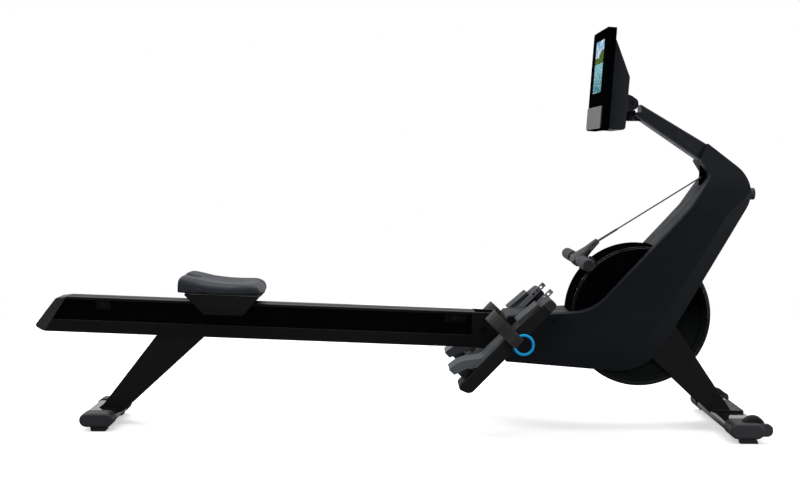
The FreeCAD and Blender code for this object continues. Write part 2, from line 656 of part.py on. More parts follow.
def build_unit():
    save("main_frame", main_frame())
    save("display_post", display_post())
    save("front_leg", front_leg())
    save("hinge_fork", hinge_fork())
    save("fold_pin", disc(*FOLD_PIVOT, 10, -56, 56))
    save("pedal_shaft", disc(*PEDAL_PIVOT, 8, -222, 222))
    save("front_foot_bar", foot_bar(FRONT_FOOT, 216))
    cap = front_foot_cap()
    save("front_foot_caps", [cap, mirrored(cap)])
    pad = slab([(999, 13.8, 0), (1050, 13.8, 0), (1056, 0, 2), (1002, 0, 2)], 257, 272)
    save("front_foot_pads", [pad, mirrored(pad)])
    save("wheel_axles", [disc(*WHEEL, 4, 215, 265), disc(*WHEEL, 4, -265, -215)])
    wheel = transport_wheel()
    save("wheel_right", mirrored(wheel))
    save("wheel_left", wheel)
    shell = housing_right()
    save("housing_right", shell)
    save("housing_left", mirrored(shell))
    save("pulley_bezel", pulley_bezel())
    save("flywheel_casing_right", flywheel_casing(-1))
    save("flywheel_casing_left", flywheel_casing(1))
    save("column_knob", knob())
    save("inner_strap", inner_strap())
    save("pull_strap", pull_strap())
    save("guide_pulley", grooved_pulley(PULLEY, STRAP_RADIUS - 1.4, STRAP_HALF_WIDTH + 1, 3, 6))
    save("strap_reel", strap_reel())
    save("flywheel", flywheel())
    save("drive_belt", drive_belt())
    save("brake_yoke", brake_yoke())
    save("brake_motor", brake_motor())
    save("drive_axles", drive_axles())
    save("handle_cradle", handle_cradle())
    save("power_inlet", block(638, 662, -12, 12, 184, 204).cut(disc(650, 190, 4, -5, 5)))


# ---------------------------------------------------------------- handle
def handle_grip():
    """Foam grip with a domed end."""
    grip = disc(*HANDLE, 17.5, 92, 256)
    ends = [edge for edge in grip.Edges if lies_across(edge)]
    return grip.makeFillet(6, ends).cut(disc(*HANDLE, 11.02, 90, 240))


def handle_yoke():
    """Tapered centre piece between the bar and the strap."""
    dx = STRAP_END[0] - HANDLE[0]
    dz = STRAP_END[1] - HANDLE[1]
    length = math.hypot(dx, dz)
    stations = [(-19.0, 15.0, 46.0), (14.0, 17.0, 44.0), (length - 20, 11.0, 17.0),
                (length + 10, 7.0, 15.0)]
    wires = []
    for along, half_height, half_width in stations:
        corners = [(along, -half_width, half_height), (along, half_width, half_height),
                   (along, half_width, -half_height), (along, -half_width, -half_height)]
        points = [FreeCAD.Vector(*corner) for corner in corners]
        wires.append(Part.makePolygon(points + points[:1]))
    body = Part.makeLoft(wires, True, True)
    body = pitched(body, HANDLE, math.degrees(math.atan2(dz, dx)))
    body = body.cut(disc(*HANDLE, 11.02, -100, 100))
    half = STRAP_HALF_WIDTH + 0.5
    slot = strip(STRAP_END, strap_tangent(), STRAP_THICKNESS + 1.0, -half, half)
    return body.cut(slot)


def build_handle():
    save("handle_bar", disc(*HANDLE, 11, -238, 238))
    grip = handle_grip()
    save("handle_grips", [grip, mirrored(grip)])
    save("handle_yoke", handle_yoke())


# ---------------------------------------------------------------- display
def on_display(shape):
    """From display coordinates (x back from the front face, y, z up from its lower edge)."""
    return pitched(shape, DISPLAY_FOOT, -DISPLAY_LEAN)


def front_slab(x_low, x_high, half_width, z_low, z_high, radius):
    """Upright slab whose four corners are rounded as seen from the front."""
    box = block(x_low, x_high, -half_width, half_width, z_low, z_high)
    edges = [edge for edge in box.Edges if edge.BoundBox.XLength > x_high - x_low - 0.01]
    return box.makeFillet(radius, edges)


def display_back():
    """Wedge-shaped rear housing with the tilt bracket's two ears."""
    body = slab([(24.6, 284, 4), (80, 162, 16), (79, 4, 10), (24.6, 4, 4)], -112, 112)
    body = rounded(body, 3.0, lambda edge: lies_across(edge) and edge.BoundBox.XMax > 30)
    return on_display(body).fuse(display_bracket())


def display_bracket():
    """Ears that carry the display on the tilt pin."""
    ear = [(686, 1024, 0), (716, 1012, 20), (736, 990, 20), (714, 968, 20), (680, 962, 0)]
    near, far = pair(ear, 18.3, 27)
    return near.fuse(far).cut(disc(*TILT, 5 + RUNNING_GAP, -60, 60))


def display_swivel():
    """Barrel and pin that the display tilts on, turning on a stem in the post's socket."""
    barrel = disc(*TILT, 20, -18, 18)
    stem = Part.makeCylinder(8, 34, FreeCAD.Vector(TILT[0], 0, 946))
    collar = Part.makeCylinder(14, 6, FreeCAD.Vector(TILT[0], 0, 964.3))
    return barrel.fuse(stem).fuse(collar).fuse(disc(*TILT, 5, -27, 27)).removeSplitter()


def build_display():
    frame = front_slab(0, 24.4, 150, 0, 302, 12)
    frame = frame.cut(front_slab(-1, 2.2, 142, 76, 296, 6))
    frame = frame.cut(front_slab(-1, 4, 146, 3, 70, 6))
    save("display_frame", on_display(frame))
    save("display_glass", on_display(front_slab(0.4, 2.1, 141.8, 76.2, 295.8, 5.8)))
    save("display_speaker", on_display(front_slab(-3, 3.9, 145.8, 3.2, 69.8, 5.8)))
    save("display_back", display_back())
    save("display_swivel", display_swivel())


# ---------------------------------------------------------------- pedals (made for +Y, then mirrored)
def pedal_base():
    """Thick rounded plate with a bearing tube on the pedal shaft."""
    plate = slab([(-214, 32.6, 10), (60, 32.6, 30), (167, 22.0, 12), (167, -9, 12), (-199, -9, 22)],
                 PEDAL_INNER, PEDAL_OUTER)
    plate = rounded(plate, 5.0, lies_across)
    plate = plate.fuse(disc(0, 0, 11, 101, PEDAL_INNER + 4)).fuse(toe_pad())
    return plate.cut(disc(0, 0, 8 + RUNNING_GAP, 90, 222.2)).removeSplitter()


def toe_pad():
    pad = slab([(48, 30.0, 0), (50, 45, 3), (128, 37.5, 3), (130, 20, 0)], 124, 220)
    for index in range(9):
        place = 55 + index * 8.0
        pad = pad.cut(block(place, place + 3, 120, 226, 43.5 - (index * 8.0) * 0.094, 60))
    return pad


def footbed():
    """Sliding tread and heel cup, with the adjusting rack along the plate's inner edge."""
    profile = [(-4, 33, 0), (-4, 41, 2), (-100, 43, 30), (-139, 74, 30), (-160, 84, 20), (-191, 89, 4),
               (-190.5, 65, 4), (-156, 55, 20), (-128, 33, 0)]
    body = slab(profile, 120, 221)
    heel = block(-183, -150, 150, 185, 33, 60)
    body = body.fuse(heel)
    hollow = slab([(-60, 44.5, 0), (-102, 47, 30), (-141, 78, 30), (-165, 130, 0), (-60, 130, 0)], 126, 215)
    body = body.cut(hollow)
    rack = slab([(-170, 27, 3), (187, 27, 3), (187, 12, 3), (-170, 12, 3)], 104.5, 109.4)
    for place in (140, 156, 172):
        rack = rack.cut(block(place - 3.5, place + 3.5, 100, 112, 16, 23))
    link = slab([(-170, 20, 0), (-170, 38, 0), (-130, 38, 0), (-130, 20, 0)], 104.5, 109.4)
    bridge = block(-168, -132, 104.5, 122, 33.1, 38)
    return body.fuse(rack).fuse(link).fuse(bridge).removeSplitter()


def foot_strap(crown):
    """Webbing arch over the foot: up the outer side, over at the crown height, and down inside."""
    foot = 36.0
    share = (crown - foot) / (120.0 - foot)

    def arch(grow):
        slant = grow * 0.7
        points = [(227.6 + grow, 4), (227.6 + grow, foot), (225.6 + grow, foot + 32 * share),
                  (204.0 + slant, foot + 71 * share + slant), (167.0, crown + grow),
                  (133.0 - slant, foot + 69 * share + slant), (117.0 - grow, foot + 34 * share),
                  (115.5 - grow, foot + 10 * share), (115.5 - grow, 33.1)]
        spline = Part.BSplineCurve()
        spline.interpolate([FreeCAD.Vector(0, y, z) for y, z in points])
        return spline, points
    outer, outer_points = arch(1.5)
    inner, inner_points = arch(-1.5)
    first = Part.LineSegment(FreeCAD.Vector(0, *outer_points[-1]), FreeCAD.Vector(0, *inner_points[-1]))
    last = Part.LineSegment(FreeCAD.Vector(0, *inner_points[0]), FreeCAD.Vector(0, *outer_points[0]))
    wire = Part.Wire([outer.toShape(), first.toShape(), inner.toShape(), last.toShape()])
    band = Part.Face(wire).extrude(FreeCAD.Vector(38, 0, 0))
    band.translate(FreeCAD.Vector(-11, 0, 0))
    return band


def strap_ring():
    """Pull ring that hangs on the strap's outer end."""
    centre = FreeCAD.Vector(15.3, 234.5, -15.8)
    return Part.makeTorus(28, 4, centre, Y_AXIS)


def build_pedals():
    save("foot_strap_left", on_pedal(foot_strap(LEFT_CROWN)))
    save("foot_strap_right", mirrored(on_pedal(foot_strap(RIGHT_CROWN))))
    for name, part in (("pedal_base", pedal_base()), ("footbed", footbed()), ("strap_ring", strap_ring())):
        placed = on_pedal(part)
        save(name + "_left", placed)
        save(name + "_right", mirrored(placed))


# ---------------------------------------------------------------- fasteners
def screw_head(x, z, y_face, radius):
    """Button head standing proud of the right side face."""
    head = disc(x, z, radius, y_face - 2.2, y_face)
    return head.cut(disc(x, z, radius * 0.45, y_face - 3, y_face - 1))


def housing_screws():
    heads = [screw_head(478, 331, -SHELL_HALF, 5), screw_head(400, 300, -SHELL_HALF, 5)]
    heads += [mirrored(head) for head in heads]
    return heads


def build_fasteners():
    save("housing_screws", housing_screws())


os.makedirs("parts", exist_ok=True)
build_rail()
build_seat()
build_unit()
build_handle()
build_display()
build_pedals()
build_fasteners()
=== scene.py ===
import json
import math

import bmesh
import bpy
from mathutils import Matrix, Vector


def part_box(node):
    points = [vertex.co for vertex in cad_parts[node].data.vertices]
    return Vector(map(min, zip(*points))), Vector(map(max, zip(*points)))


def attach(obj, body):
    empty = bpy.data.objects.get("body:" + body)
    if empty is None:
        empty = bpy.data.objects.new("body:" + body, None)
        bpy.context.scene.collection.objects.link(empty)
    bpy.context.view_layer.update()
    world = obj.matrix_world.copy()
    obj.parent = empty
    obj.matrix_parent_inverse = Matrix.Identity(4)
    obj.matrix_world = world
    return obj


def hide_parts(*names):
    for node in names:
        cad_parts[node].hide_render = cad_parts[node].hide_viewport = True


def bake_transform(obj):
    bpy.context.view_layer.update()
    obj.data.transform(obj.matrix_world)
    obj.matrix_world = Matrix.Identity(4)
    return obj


# Rowing machine, dressed round its CAD frame. Metres. +X runs along the rail towards the flywheel,
# +Y is the left of a rower who faces the flywheel, +Z is up.

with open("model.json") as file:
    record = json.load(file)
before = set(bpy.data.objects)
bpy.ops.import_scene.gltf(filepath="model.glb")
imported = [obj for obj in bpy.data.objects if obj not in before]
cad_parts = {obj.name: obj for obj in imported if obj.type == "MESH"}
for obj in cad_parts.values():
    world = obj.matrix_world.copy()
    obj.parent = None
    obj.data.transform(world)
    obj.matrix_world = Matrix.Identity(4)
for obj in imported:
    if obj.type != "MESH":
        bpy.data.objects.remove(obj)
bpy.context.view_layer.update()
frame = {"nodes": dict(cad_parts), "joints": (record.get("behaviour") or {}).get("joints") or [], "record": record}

NODES = frame["nodes"]
JOINTS = {joint["name"]: joint for joint in frame["joints"]}
ACROSS = Vector((0, 1, 0))
UP = Vector((0, 0, 1))
SIDES = (("right", -1), ("left", 1))
MM = 0.001


# ---- places taken from the frame
def joint_axis(name):
    return Vector(JOINTS[name]["axis"]).normalized()


def flat(point):
    """The point moved onto the middle plane."""
    return Vector((point[0], 0, point[2]))


RAIL_ALONG = joint_axis("seat_slide")
RAIL_UP = RAIL_ALONG.cross(ACROSS).normalized()
TOE = joint_axis("footbed_right_slide")
PEDAL_UP = TOE.cross(ACROSS).normalized()
PEDAL_PIVOT = flat(JOINTS["pedal_right_tilt"]["pos_m"])
DRUM = flat(JOINTS["flywheel_spin"]["pos_m"])
DISPLAY_LEAN = math.radians(3.74)

# The seat carriage: half its length, its top face above the rail's, and the middle of its side plates.
CARRIAGE_HALF = 113 * MM
CARRIAGE_TOP = 29.6 * MM
CARRIAGE_MIDDLE = 27.5 * MM


def seat_origin():
    """The rail's top face under the middle of the seat carriage."""
    low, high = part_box("seat_carriage")
    x = (low.x + high.x) / 2 - CARRIAGE_MIDDLE * RAIL_UP.x
    z = high.z + CARRIAGE_HALF * RAIL_ALONG.z - CARRIAGE_TOP * RAIL_UP.z
    return Vector((x, 0, z))


SEAT = seat_origin()


def on_seat(along, y, height):
    return SEAT + RAIL_ALONG * along + ACROSS * y + RAIL_UP * height


def on_pedal(toe, y, height):
    return PEDAL_PIVOT + TOE * toe + ACROSS * y + PEDAL_UP * height


# ---- materials
class Graph:
    """A node tree, with short ways to add to it."""

    def __init__(self, tree):
        self.tree = tree

    def add(self, kind, sockets=None, **settings):
        node = self.tree.nodes.new(kind)
        for key, value in settings.items():
            setattr(node, key, value)
        for key, value in (sockets or {}).items():
            self.put(node.inputs[key], value)
        return node

    def put(self, socket, value):
        if isinstance(value, bpy.types.NodeSocket):
            self.tree.links.new(value, socket)
        else:
            socket.default_value = value

    def sum(self, operation, first, second=0.0, third=0.0):
        node = self.add("ShaderNodeMath", {0: first, 1: second, 2: third}, operation=operation)
        return node.outputs[0]

    def split(self, vector):
        return self.add("ShaderNodeSeparateXYZ", {0: vector}).outputs

    def times(self, first, second):
        return self.sum("MULTIPLY", first, second)

    def spread(self, value, low, high, to_low=0.0, to_high=1.0):
        """value from low..high to to_low..to_high, held at both ends."""
        node = self.add("ShaderNodeMapRange", {0: value, 1: low, 2: high, 3: to_low, 4: to_high})
        return node.outputs[0]


class Finish(Graph):
    """One material. Colour, roughness and relief all come from the shape's own coordinates."""

    def __init__(self, name):
        self.material = bpy.data.materials.new(name)
        self.material.use_nodes = True
        super().__init__(self.material.node_tree)
        self.shader = self.tree.nodes["Principled BSDF"]
        self.place = self.add("ShaderNodeTexCoord").outputs["Object"]

    def noise(self, size, detail=2.0, stretch=None):
        """Soft random pattern with features of a size in millimetres."""
        place = self.place
        if stretch:
            place = self.add("ShaderNodeMapping", {0: place, 3: stretch}).outputs[0]
        node = self.add("ShaderNodeTexNoise", {"Vector": place, "Scale": 1 / (size * MM), "Detail": detail})
        return node.outputs[0]

    def vary(self, noise, low, high):
        """low..high over the span that a noise mostly keeps to."""
        return self.spread(noise, 0.3, 0.7, low, high)

    def mix(self, factor, first, second):
        node = self.add("ShaderNodeMix", data_type="RGBA")
        self.put(node.inputs["Factor"], factor)
        self.put(node.inputs["A"], rgba(first))
        self.put(node.inputs["B"], rgba(second))
        return node.outputs["Result"]

    def axis(self, name):
        return self.split(self.place)[name]

    def dotted(self, direction, offset):
        """Signed distance along a direction from a point."""
        sockets = {0: self.place, 1: tuple(direction)}
        node = self.add("ShaderNodeVectorMath", sockets, operation="DOT_PRODUCT")
        return self.sum("SUBTRACT", node.outputs["Value"], offset.dot(direction))

    def edges(self, radius):
        """(normal softened over a radius in millimetres, 0..1 mask that is high on edges)."""
        soft = self.add("ShaderNodeBevel", {"Radius": radius * MM}, samples=4).outputs[0]
        hard = self.add("ShaderNodeNewGeometry").outputs["Normal"]
        likeness = self.add("ShaderNodeVectorMath", {0: soft, 1: hard}, operation="DOT_PRODUCT")
        return soft, self.spread(likeness.outputs["Value"], 0.99, 0.85)

    def relief(self, height, distance, strength=1.0, normal=None):
        """Normal that a height field gives, up to a distance in millimetres."""
        sockets = {"Height": height, "Distance": distance * MM, "Strength": strength}
        if normal is not None:
            sockets["Normal"] = normal
        return self.add("ShaderNodeBump", sockets).outputs[0]

    def set(self, **sockets):
        """Sockets of the main shader, with _ for each space in a name."""
        for key, value in sockets.items():
            self.put(self.shader.inputs[key.replace("_", " ")], value)
        return self.material


def rgba(value):
    """A colour with its alpha; sockets and colours that have one pass through."""
    return (*value, 1.0) if isinstance(value, tuple) and len(value) == 3 else value


def facing(f, axis, low, high):
    """How far the surface's normal leans along one axis, spread from 0 at low to 1 at high."""
    normal = f.add("ShaderNodeNewGeometry").outputs["Normal"]
    return f.spread(f.split(normal)[axis], low, high)


def moulded(name, dark, light, rough, grain=0.5, depth=0.03, edge=0.7, wear=0.35,
            blotch=60, spread=0.08, coat=0.0, metallic=0.0, specular=0.5, bevel=None, painted_underside_light=None):
    """A hard finish: patchy colour, a fine grain, softened edges that catch the light and wear paler.

    Sizes are in millimetres. bevel is a paler colour put on the faces that aren't square to the machine's sides,
    as painted light, and the colour for the faces that look down is painted light as well, a painted reflection of
    the floor.
    """
    f = Finish(name)
    patches = f.noise(blotch, 4.0)
    smudges = f.noise(blotch * 0.3, 3.0)
    fine = f.noise(grain, 2.0)
    soft, edge_mask = f.edges(edge)
    worn = f.times(edge_mask, f.spread(f.noise(9, 3.0), 0.35, 0.65, wear * 0.35, wear))
    worn_colour = tuple(min(1.0, c * 2.6 + 0.02) for c in light)
    base = f.mix(patches, dark, light)
    if bevel:
        # Painted light: faces that lean away from the sides, such as the bevel band, get a paler colour for the
        # light they catch.
        bevel_painted_light = f.times(facing(f, "Y", 0.98, 0.86), facing(f, "Y", -0.98, -0.86))
        base = f.mix(bevel_painted_light, base, bevel)
    # Painted light: faces that look down get a pale colour that stands in for the floor's reflection.
    if painted_underside_light:
        base = f.mix(facing(f, "Z", -0.3, -0.6), base, painted_underside_light)
    colour = f.mix(worn, base, worn_colour)
    rub = f.vary(smudges, rough - spread, rough + spread)
    f.set(Base_Color=colour, Roughness=rub, Metallic=metallic, Normal=f.relief(fine, depth, 0.6, soft))
    return f.set(Coat_Weight=coat, Coat_Roughness=0.06, Specular_IOR_Level=specular)


def make_rail():
    """Black extrusion: gloss side recesses, satin bands, and faint tracks where the rollers run."""
    f = Finish("rail_metal")
    above = f.dotted(RAIL_UP, SEAT)
    side = f.sum("ABSOLUTE", f.axis("Y"))
    recess = f.sum("LESS_THAN", side, 35.5 * MM)
    below = f.sum("LESS_THAN", above, -3 * MM)
    recess = f.times(recess, below)
    track = f.sum("ABSOLUTE", f.sum("SUBTRACT", side, 24 * MM))
    top = f.sum("GREATER_THAN", above, -1 * MM)
    track = f.times(f.spread(track, 10 * MM, 7 * MM), top)
    drawn = f.noise(1.2, 3.0, (0.02, 1, 1))
    patches = f.noise(90, 3.0)
    soft, edge_mask = f.edges(1.3)
    band = f.mix(patches, (0.009, 0.0093, 0.0105), (0.013, 0.0135, 0.015))
    colour = f.mix(recess, band, f.mix(patches, (0.0008, 0.0008, 0.001), (0.0014, 0.0014, 0.0016)))
    colour = f.mix(f.times(track, f.vary(drawn, 0.2, 0.7)), colour, (0.05, 0.05, 0.054))
    colour = f.mix(f.times(edge_mask, 0.7), colour, (0.1, 0.105, 0.12))
    rough = f.spread(recess, 0.0, 1.0, 0.42, 0.3)
    rough = f.sum("SUBTRACT", rough, f.times(track, 0.15))
    rough = f.sum("ADD", rough, f.vary(drawn, -0.05, 0.05))
    f.set(Base_Color=colour, Roughness=rough, Normal=f.relief(drawn, 0.02, 0.5, soft))
    return f.set(Specular_IOR_Level=0.05)


def make_turned_steel():
    f = Finish("steel")
    rings = f.noise(0.5, 2.0, (1, 8, 1))
    patches = f.noise(15, 3.0)
    soft, edge_mask = f.edges(0.4)
    colour = f.mix(patches, (0.32, 0.33, 0.35), (0.5, 0.51, 0.53))
    colour = f.mix(f.times(edge_mask, 0.4), colour, (0.75, 0.75, 0.77))
    rough = f.vary(rings, 0.24, 0.42)
    f.set(Base_Color=colour, Roughness=rough, Metallic=1.0)
    return f.set(Normal=f.relief(rings, 0.02, 0.5, soft))


def make_foam():
    """Closed-cell foam: matte, with small open cells darkened by painted shade, and rubbed patches."""
    f = Finish("grip_foam")
    cells = f.add("ShaderNodeTexVoronoi", {"Vector": f.place, "Scale": 1 / (1.1 * MM)}).outputs["Distance"]
    patches = f.noise(22, 4.0)
    cell_pits_and_shade = f.spread(cells, 0.0, 0.45)
    # Painted shade: the open cells are darker than the foam round them, as well as sunk in the relief.
    colour = f.mix(cell_pits_and_shade, (0.03, 0.031, 0.033), f.mix(patches, (0.046, 0.048, 0.053), (0.064, 0.067, 0.074)))
    rough = f.vary(patches, 0.72, 0.9)
    f.set(Base_Color=colour, Roughness=rough, Normal=f.relief(cell_pits_and_shade, 0.12, 0.7))
    return f.set(Specular_IOR_Level=0.1, Sheen_Weight=0.08, Sheen_Roughness=0.5)


def make_seat_cover():
    """Moulded polyurethane skin with a fine pebble grain."""
    f = Finish("seat_cover")
    pebbles = f.add("ShaderNodeTexVoronoi", {"Vector": f.place, "Scale": 1 / (1.5 * MM)}, feature="SMOOTH_F1")
    pebble = pebbles.outputs["Distance"]
    patches = f.noise(70, 4.0)
    scuffs = f.noise(6, 5.0, (0.25, 1, 1))
    colour = f.mix(patches, (0.028, 0.032, 0.04), (0.04, 0.046, 0.056))
    colour = f.mix(f.spread(scuffs, 0.62, 0.75, 0.0, 0.35), colour, (0.1, 0.105, 0.115))
    rough = f.vary(patches, 0.36, 0.5)
    height = f.sum("ADD", pebble, f.times(f.noise(0.6), 0.3))
    f.set(Base_Color=colour, Roughness=rough, Normal=f.relief(height, 0.10, 0.35))
    return f.set(Specular_IOR_Level=0.22)


def make_webbing(name, dark, light, stitches=True):
    """Woven strap. The mesh's "weave" attribute holds metres along, metres across, and a stitch flag."""
    f = Finish(name)
    weave = f.add("ShaderNodeAttribute", attribute_name="weave").outputs["Vector"]
    run = f.split(weave)
    pitch = 2 * math.pi / (1.5 * MM)
    lean = f.sum("ADD", f.times(run["X"], pitch), f.times(run["Y"], pitch * 0.8))
    warp = f.sum("SINE", f.times(run["Y"], pitch * 0.75))
    weft = f.sum("SINE", lean)
    threads = f.spread(f.sum("ADD", f.times(warp, 0.6), f.times(weft, 0.4)), -1.0, 1.0)
    fuzz = f.noise(0.4, 3.0)
    patches = f.noise(25, 3.0)
    colour = f.mix(f.times(threads, patches), dark, light)
    colour = f.mix(f.spread(fuzz, 0.55, 0.75, 0.0, 0.4), colour, tuple(c * 1.8 for c in light))
    height = f.sum("ADD", threads, f.times(fuzz, 0.4))
    if stitches:
        dash = f.sum("FRACT", f.sum("DIVIDE", run["X"], 3.4 * MM))
        dash = f.sum("LESS_THAN", f.sum("ABSOLUTE", f.sum("SUBTRACT", dash, 0.5)), 0.34)
        row = f.sum("LESS_THAN", f.sum("ABSOLUTE", run["Z"]), 0.5 * MM)
        stitch = f.times(dash, row)
        colour = f.mix(stitch, colour, tuple(c * 3.0 + 0.02 for c in light))
        height = f.sum("ADD", height, f.times(stitch, 2.0))
    f.set(Base_Color=colour, Roughness=f.vary(fuzz, 0.7, 0.92))
    return f.set(Normal=f.relief(height, 0.22, 0.7), Sheen_Weight=0.25, Sheen_Roughness=0.4)


def make_speaker():
    """Woven grey mesh over the speaker."""
    f = Finish("speaker_mesh")
    pitch = 2 * math.pi / (2.2 * MM)
    across = f.sum("SINE", f.times(f.axis("Y"), pitch))
    upward = f.sum("SINE", f.times(f.axis("Z"), pitch))
    knots = f.spread(f.times(across, upward), -0.6, 0.6)
    threads = f.mix(f.noise(20), (0.22, 0.222, 0.225), (0.3, 0.3, 0.305))
    colour = f.mix(knots, (0.05, 0.05, 0.052), threads)
    soft, edge_mask = f.edges(1.0)
    rough = f.spread(knots, 0, 1, 0.75, 0.5)
    return f.set(Base_Color=colour, Roughness=rough, Normal=f.relief(knots, 0.25, 0.8, soft))


def make_screen():
    """Black glass with a lit picture of a lake, hills and sky behind it."""
    f = Finish("screen")
    low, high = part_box("display_glass")
    centre = (low + high) / 2 + UP * 6 * MM
    lean = Vector((math.sin(DISPLAY_LEAN), 0, math.cos(DISPLAY_LEAN)))
    up = f.sum("DIVIDE", f.dotted(lean, centre), 79 * MM)
    side = f.sum("DIVIDE", f.axis("Y"), 82 * MM)
    inside = f.sum("LESS_THAN", f.sum("MAXIMUM", f.sum("ABSOLUTE", up), f.sum("ABSOLUTE", side)), 1.0)
    clouds = f.noise(28, 5.0, (1, 0.5, 1.6))
    ripple = f.noise(9, 4.0, (1, 0.35, 2.5))
    crowns = f.noise(7, 5.0)
    sky = f.mix(f.spread(up, 0.1, 1.0), (0.55, 0.75, 0.88), (0.16, 0.42, 0.72))
    sky = f.mix(f.spread(clouds, 0.45, 0.68), sky, (0.9, 0.95, 1.0))
    lake = f.mix(f.spread(up, -1.0, 0.0), (0.02, 0.17, 0.22), (0.18, 0.5, 0.58))
    lake = f.mix(f.spread(ripple, 0.5, 0.65, 0.0, 0.8), lake, (0.7, 0.88, 0.9))
    hills = f.mix(f.spread(crowns, 0.35, 0.65), (0.02, 0.06, 0.01), (0.16, 0.24, 0.05))
    ridge = f.times(f.noise(26, 3.0), 0.9)
    slope = f.sum("ADD", f.times(side, -0.22), ridge)
    wooded = f.sum("LESS_THAN", f.sum("SUBTRACT", up, slope), 0.0)
    picture = f.mix(wooded, sky, hills)
    picture = f.mix(f.sum("LESS_THAN", up, 0.12), picture, lake)
    dust = f.spread(f.noise(3, 5.0), 0.55, 0.75)
    f.set(Base_Color=f.mix(dust, (0.0015, 0.0015, 0.0018), (0.004, 0.004, 0.0045)))
    f.set(Roughness=f.vary(f.noise(35, 3.0), 0.04, 0.12), Specular_IOR_Level=0.0)
    f.set(Emission_Color=f.mix(inside, (0.0, 0.0, 0.0), picture), Emission_Strength=0.85)
    return f.set(Normal=f.relief(dust, 0.004, 0.2))


def make_ribbed(name, dark, light, pitch, rough, low, high):
    """Moulded part with fine ribs across the pedal, between two heights above its plate; the hollows between ribs
    are darkened with painted shade.
    """
    f = Finish(name)
    toe = f.dotted(TOE, PEDAL_PIVOT)
    height = f.dotted(PEDAL_UP, PEDAL_PIVOT)
    ribs = f.spread(f.sum("SINE", f.times(toe, 2 * math.pi / pitch)), -0.4, 0.4)
    band = f.times(f.spread(height, low, low + MM), f.spread(height, high, high - MM))
    patches = f.noise(40, 4.0)
    fine = f.noise(0.5)
    soft, edge_mask = f.edges(0.8)
    groove_depth_and_shade = f.times(f.sum("SUBTRACT", 1.0, ribs), band)
    colour = f.mix(patches, dark, light)
    # Painted shade: the hollows between the ribs are darkened, as well as sunk in the relief.
    colour = f.mix(f.times(groove_depth_and_shade, 0.65), colour, tuple(c * 0.3 for c in dark))
    rack = f.sum("LESS_THAN", f.sum("ABSOLUTE", f.axis("Y")), 110 * MM)
    colour = f.mix(rack, colour, f.mix(patches, (0.2, 0.21, 0.23), (0.28, 0.29, 0.31)))
    colour = f.mix(f.times(edge_mask, 0.35), colour, tuple(min(1, c * 1.9) for c in light))
    relief = f.sum("SUBTRACT", f.times(fine, 0.05), groove_depth_and_shade)
    f.set(Base_Color=colour, Roughness=f.vary(patches, rough - 0.06, rough + 0.08))
    return f.set(Normal=f.relief(relief, 0.6, 0.6, soft))


def make_pedal_side():
    """Dark plate whose long sides carry fine lengthwise furrows, darkened with painted shade."""
    f = Finish("pedal_plate")
    height = f.dotted(PEDAL_UP, PEDAL_PIVOT)
    flanks = f.sum("MAXIMUM", facing(f, "Y", 0.8, 0.95), facing(f, "Y", -0.8, -0.95))
    groove_lines_and_shade = f.spread(f.sum("SINE", f.times(height, 2 * math.pi / (5.2 * MM))), 0.1, 0.7)
    groove_lines_and_shade = f.times(groove_lines_and_shade, flanks)
    groove_lines_and_shade = f.times(groove_lines_and_shade, f.spread(height, 29 * MM, 28 * MM))
    patches = f.noise(50, 4.0)
    soft, edge_mask = f.edges(0.8)
    colour = f.mix(patches, (0.009, 0.0094, 0.0098), (0.015, 0.0157, 0.0164))
    # Painted shade: the furrows on the flanks are darkened, as well as sunk in the relief.
    colour = f.mix(f.times(groove_lines_and_shade, 0.7), colour, (0.003, 0.003, 0.0035))
    toe = f.dotted(TOE, PEDAL_PIVOT)
    pad = f.times(f.spread(toe, 45 * MM, 48 * MM), f.spread(height, 29 * MM, 30 * MM))
    cap = f.spread(toe, 138 * MM, 139 * MM)
    paler = f.sum("MAXIMUM", pad, f.times(cap, 0.55))
    colour = f.mix(paler, colour, f.mix(patches, (0.04, 0.043, 0.048), (0.06, 0.064, 0.071)))
    colour = f.mix(f.times(edge_mask, 0.45), colour, (0.13, 0.14, 0.15))
    relief = f.sum("SUBTRACT", f.times(f.noise(0.5), 0.06), groove_lines_and_shade)
    f.set(Base_Color=colour, Roughness=f.vary(patches, 0.42, 0.58))
    return f.set(Normal=f.relief(relief, 0.5, 0.6, soft), Specular_IOR_Level=0.15)


def make_casing():
    """Near-black moulding, rougher towards the floor, where a slightly greener, paler colour is a painted
    reflection of the floor.
    """
    f = Finish("casing")
    patches = f.noise(120, 4.0)
    low = f.spread(f.sum("ADD", f.axis("Z"), f.times(patches, 40 * MM)), 400 * MM, 280 * MM)
    soft, edge_mask = f.edges(1.0)
    gloss = f.mix(patches, (0.001, 0.0012, 0.0011), (0.0018, 0.0022, 0.002))
    # Painted reflection: the paler colour towards the floor stands in for the floor's reflection; the roughness
    # there rises too.
    matt_painted_reflection = f.mix(patches, (0.0085, 0.0105, 0.0096), (0.011, 0.0135, 0.0122))
    colour = f.mix(f.times(edge_mask, 0.15), f.mix(low, gloss, matt_painted_reflection), (0.03, 0.033, 0.035))
    rough = f.sum("ADD", f.spread(low, 0, 1, 0.2, 0.5), f.vary(f.noise(30), -0.03, 0.03))
    f.set(Base_Color=colour, Roughness=rough, Normal=f.relief(f.noise(5), 0.002, 0.3, soft))
    return f.set(Specular_IOR_Level=0.0)


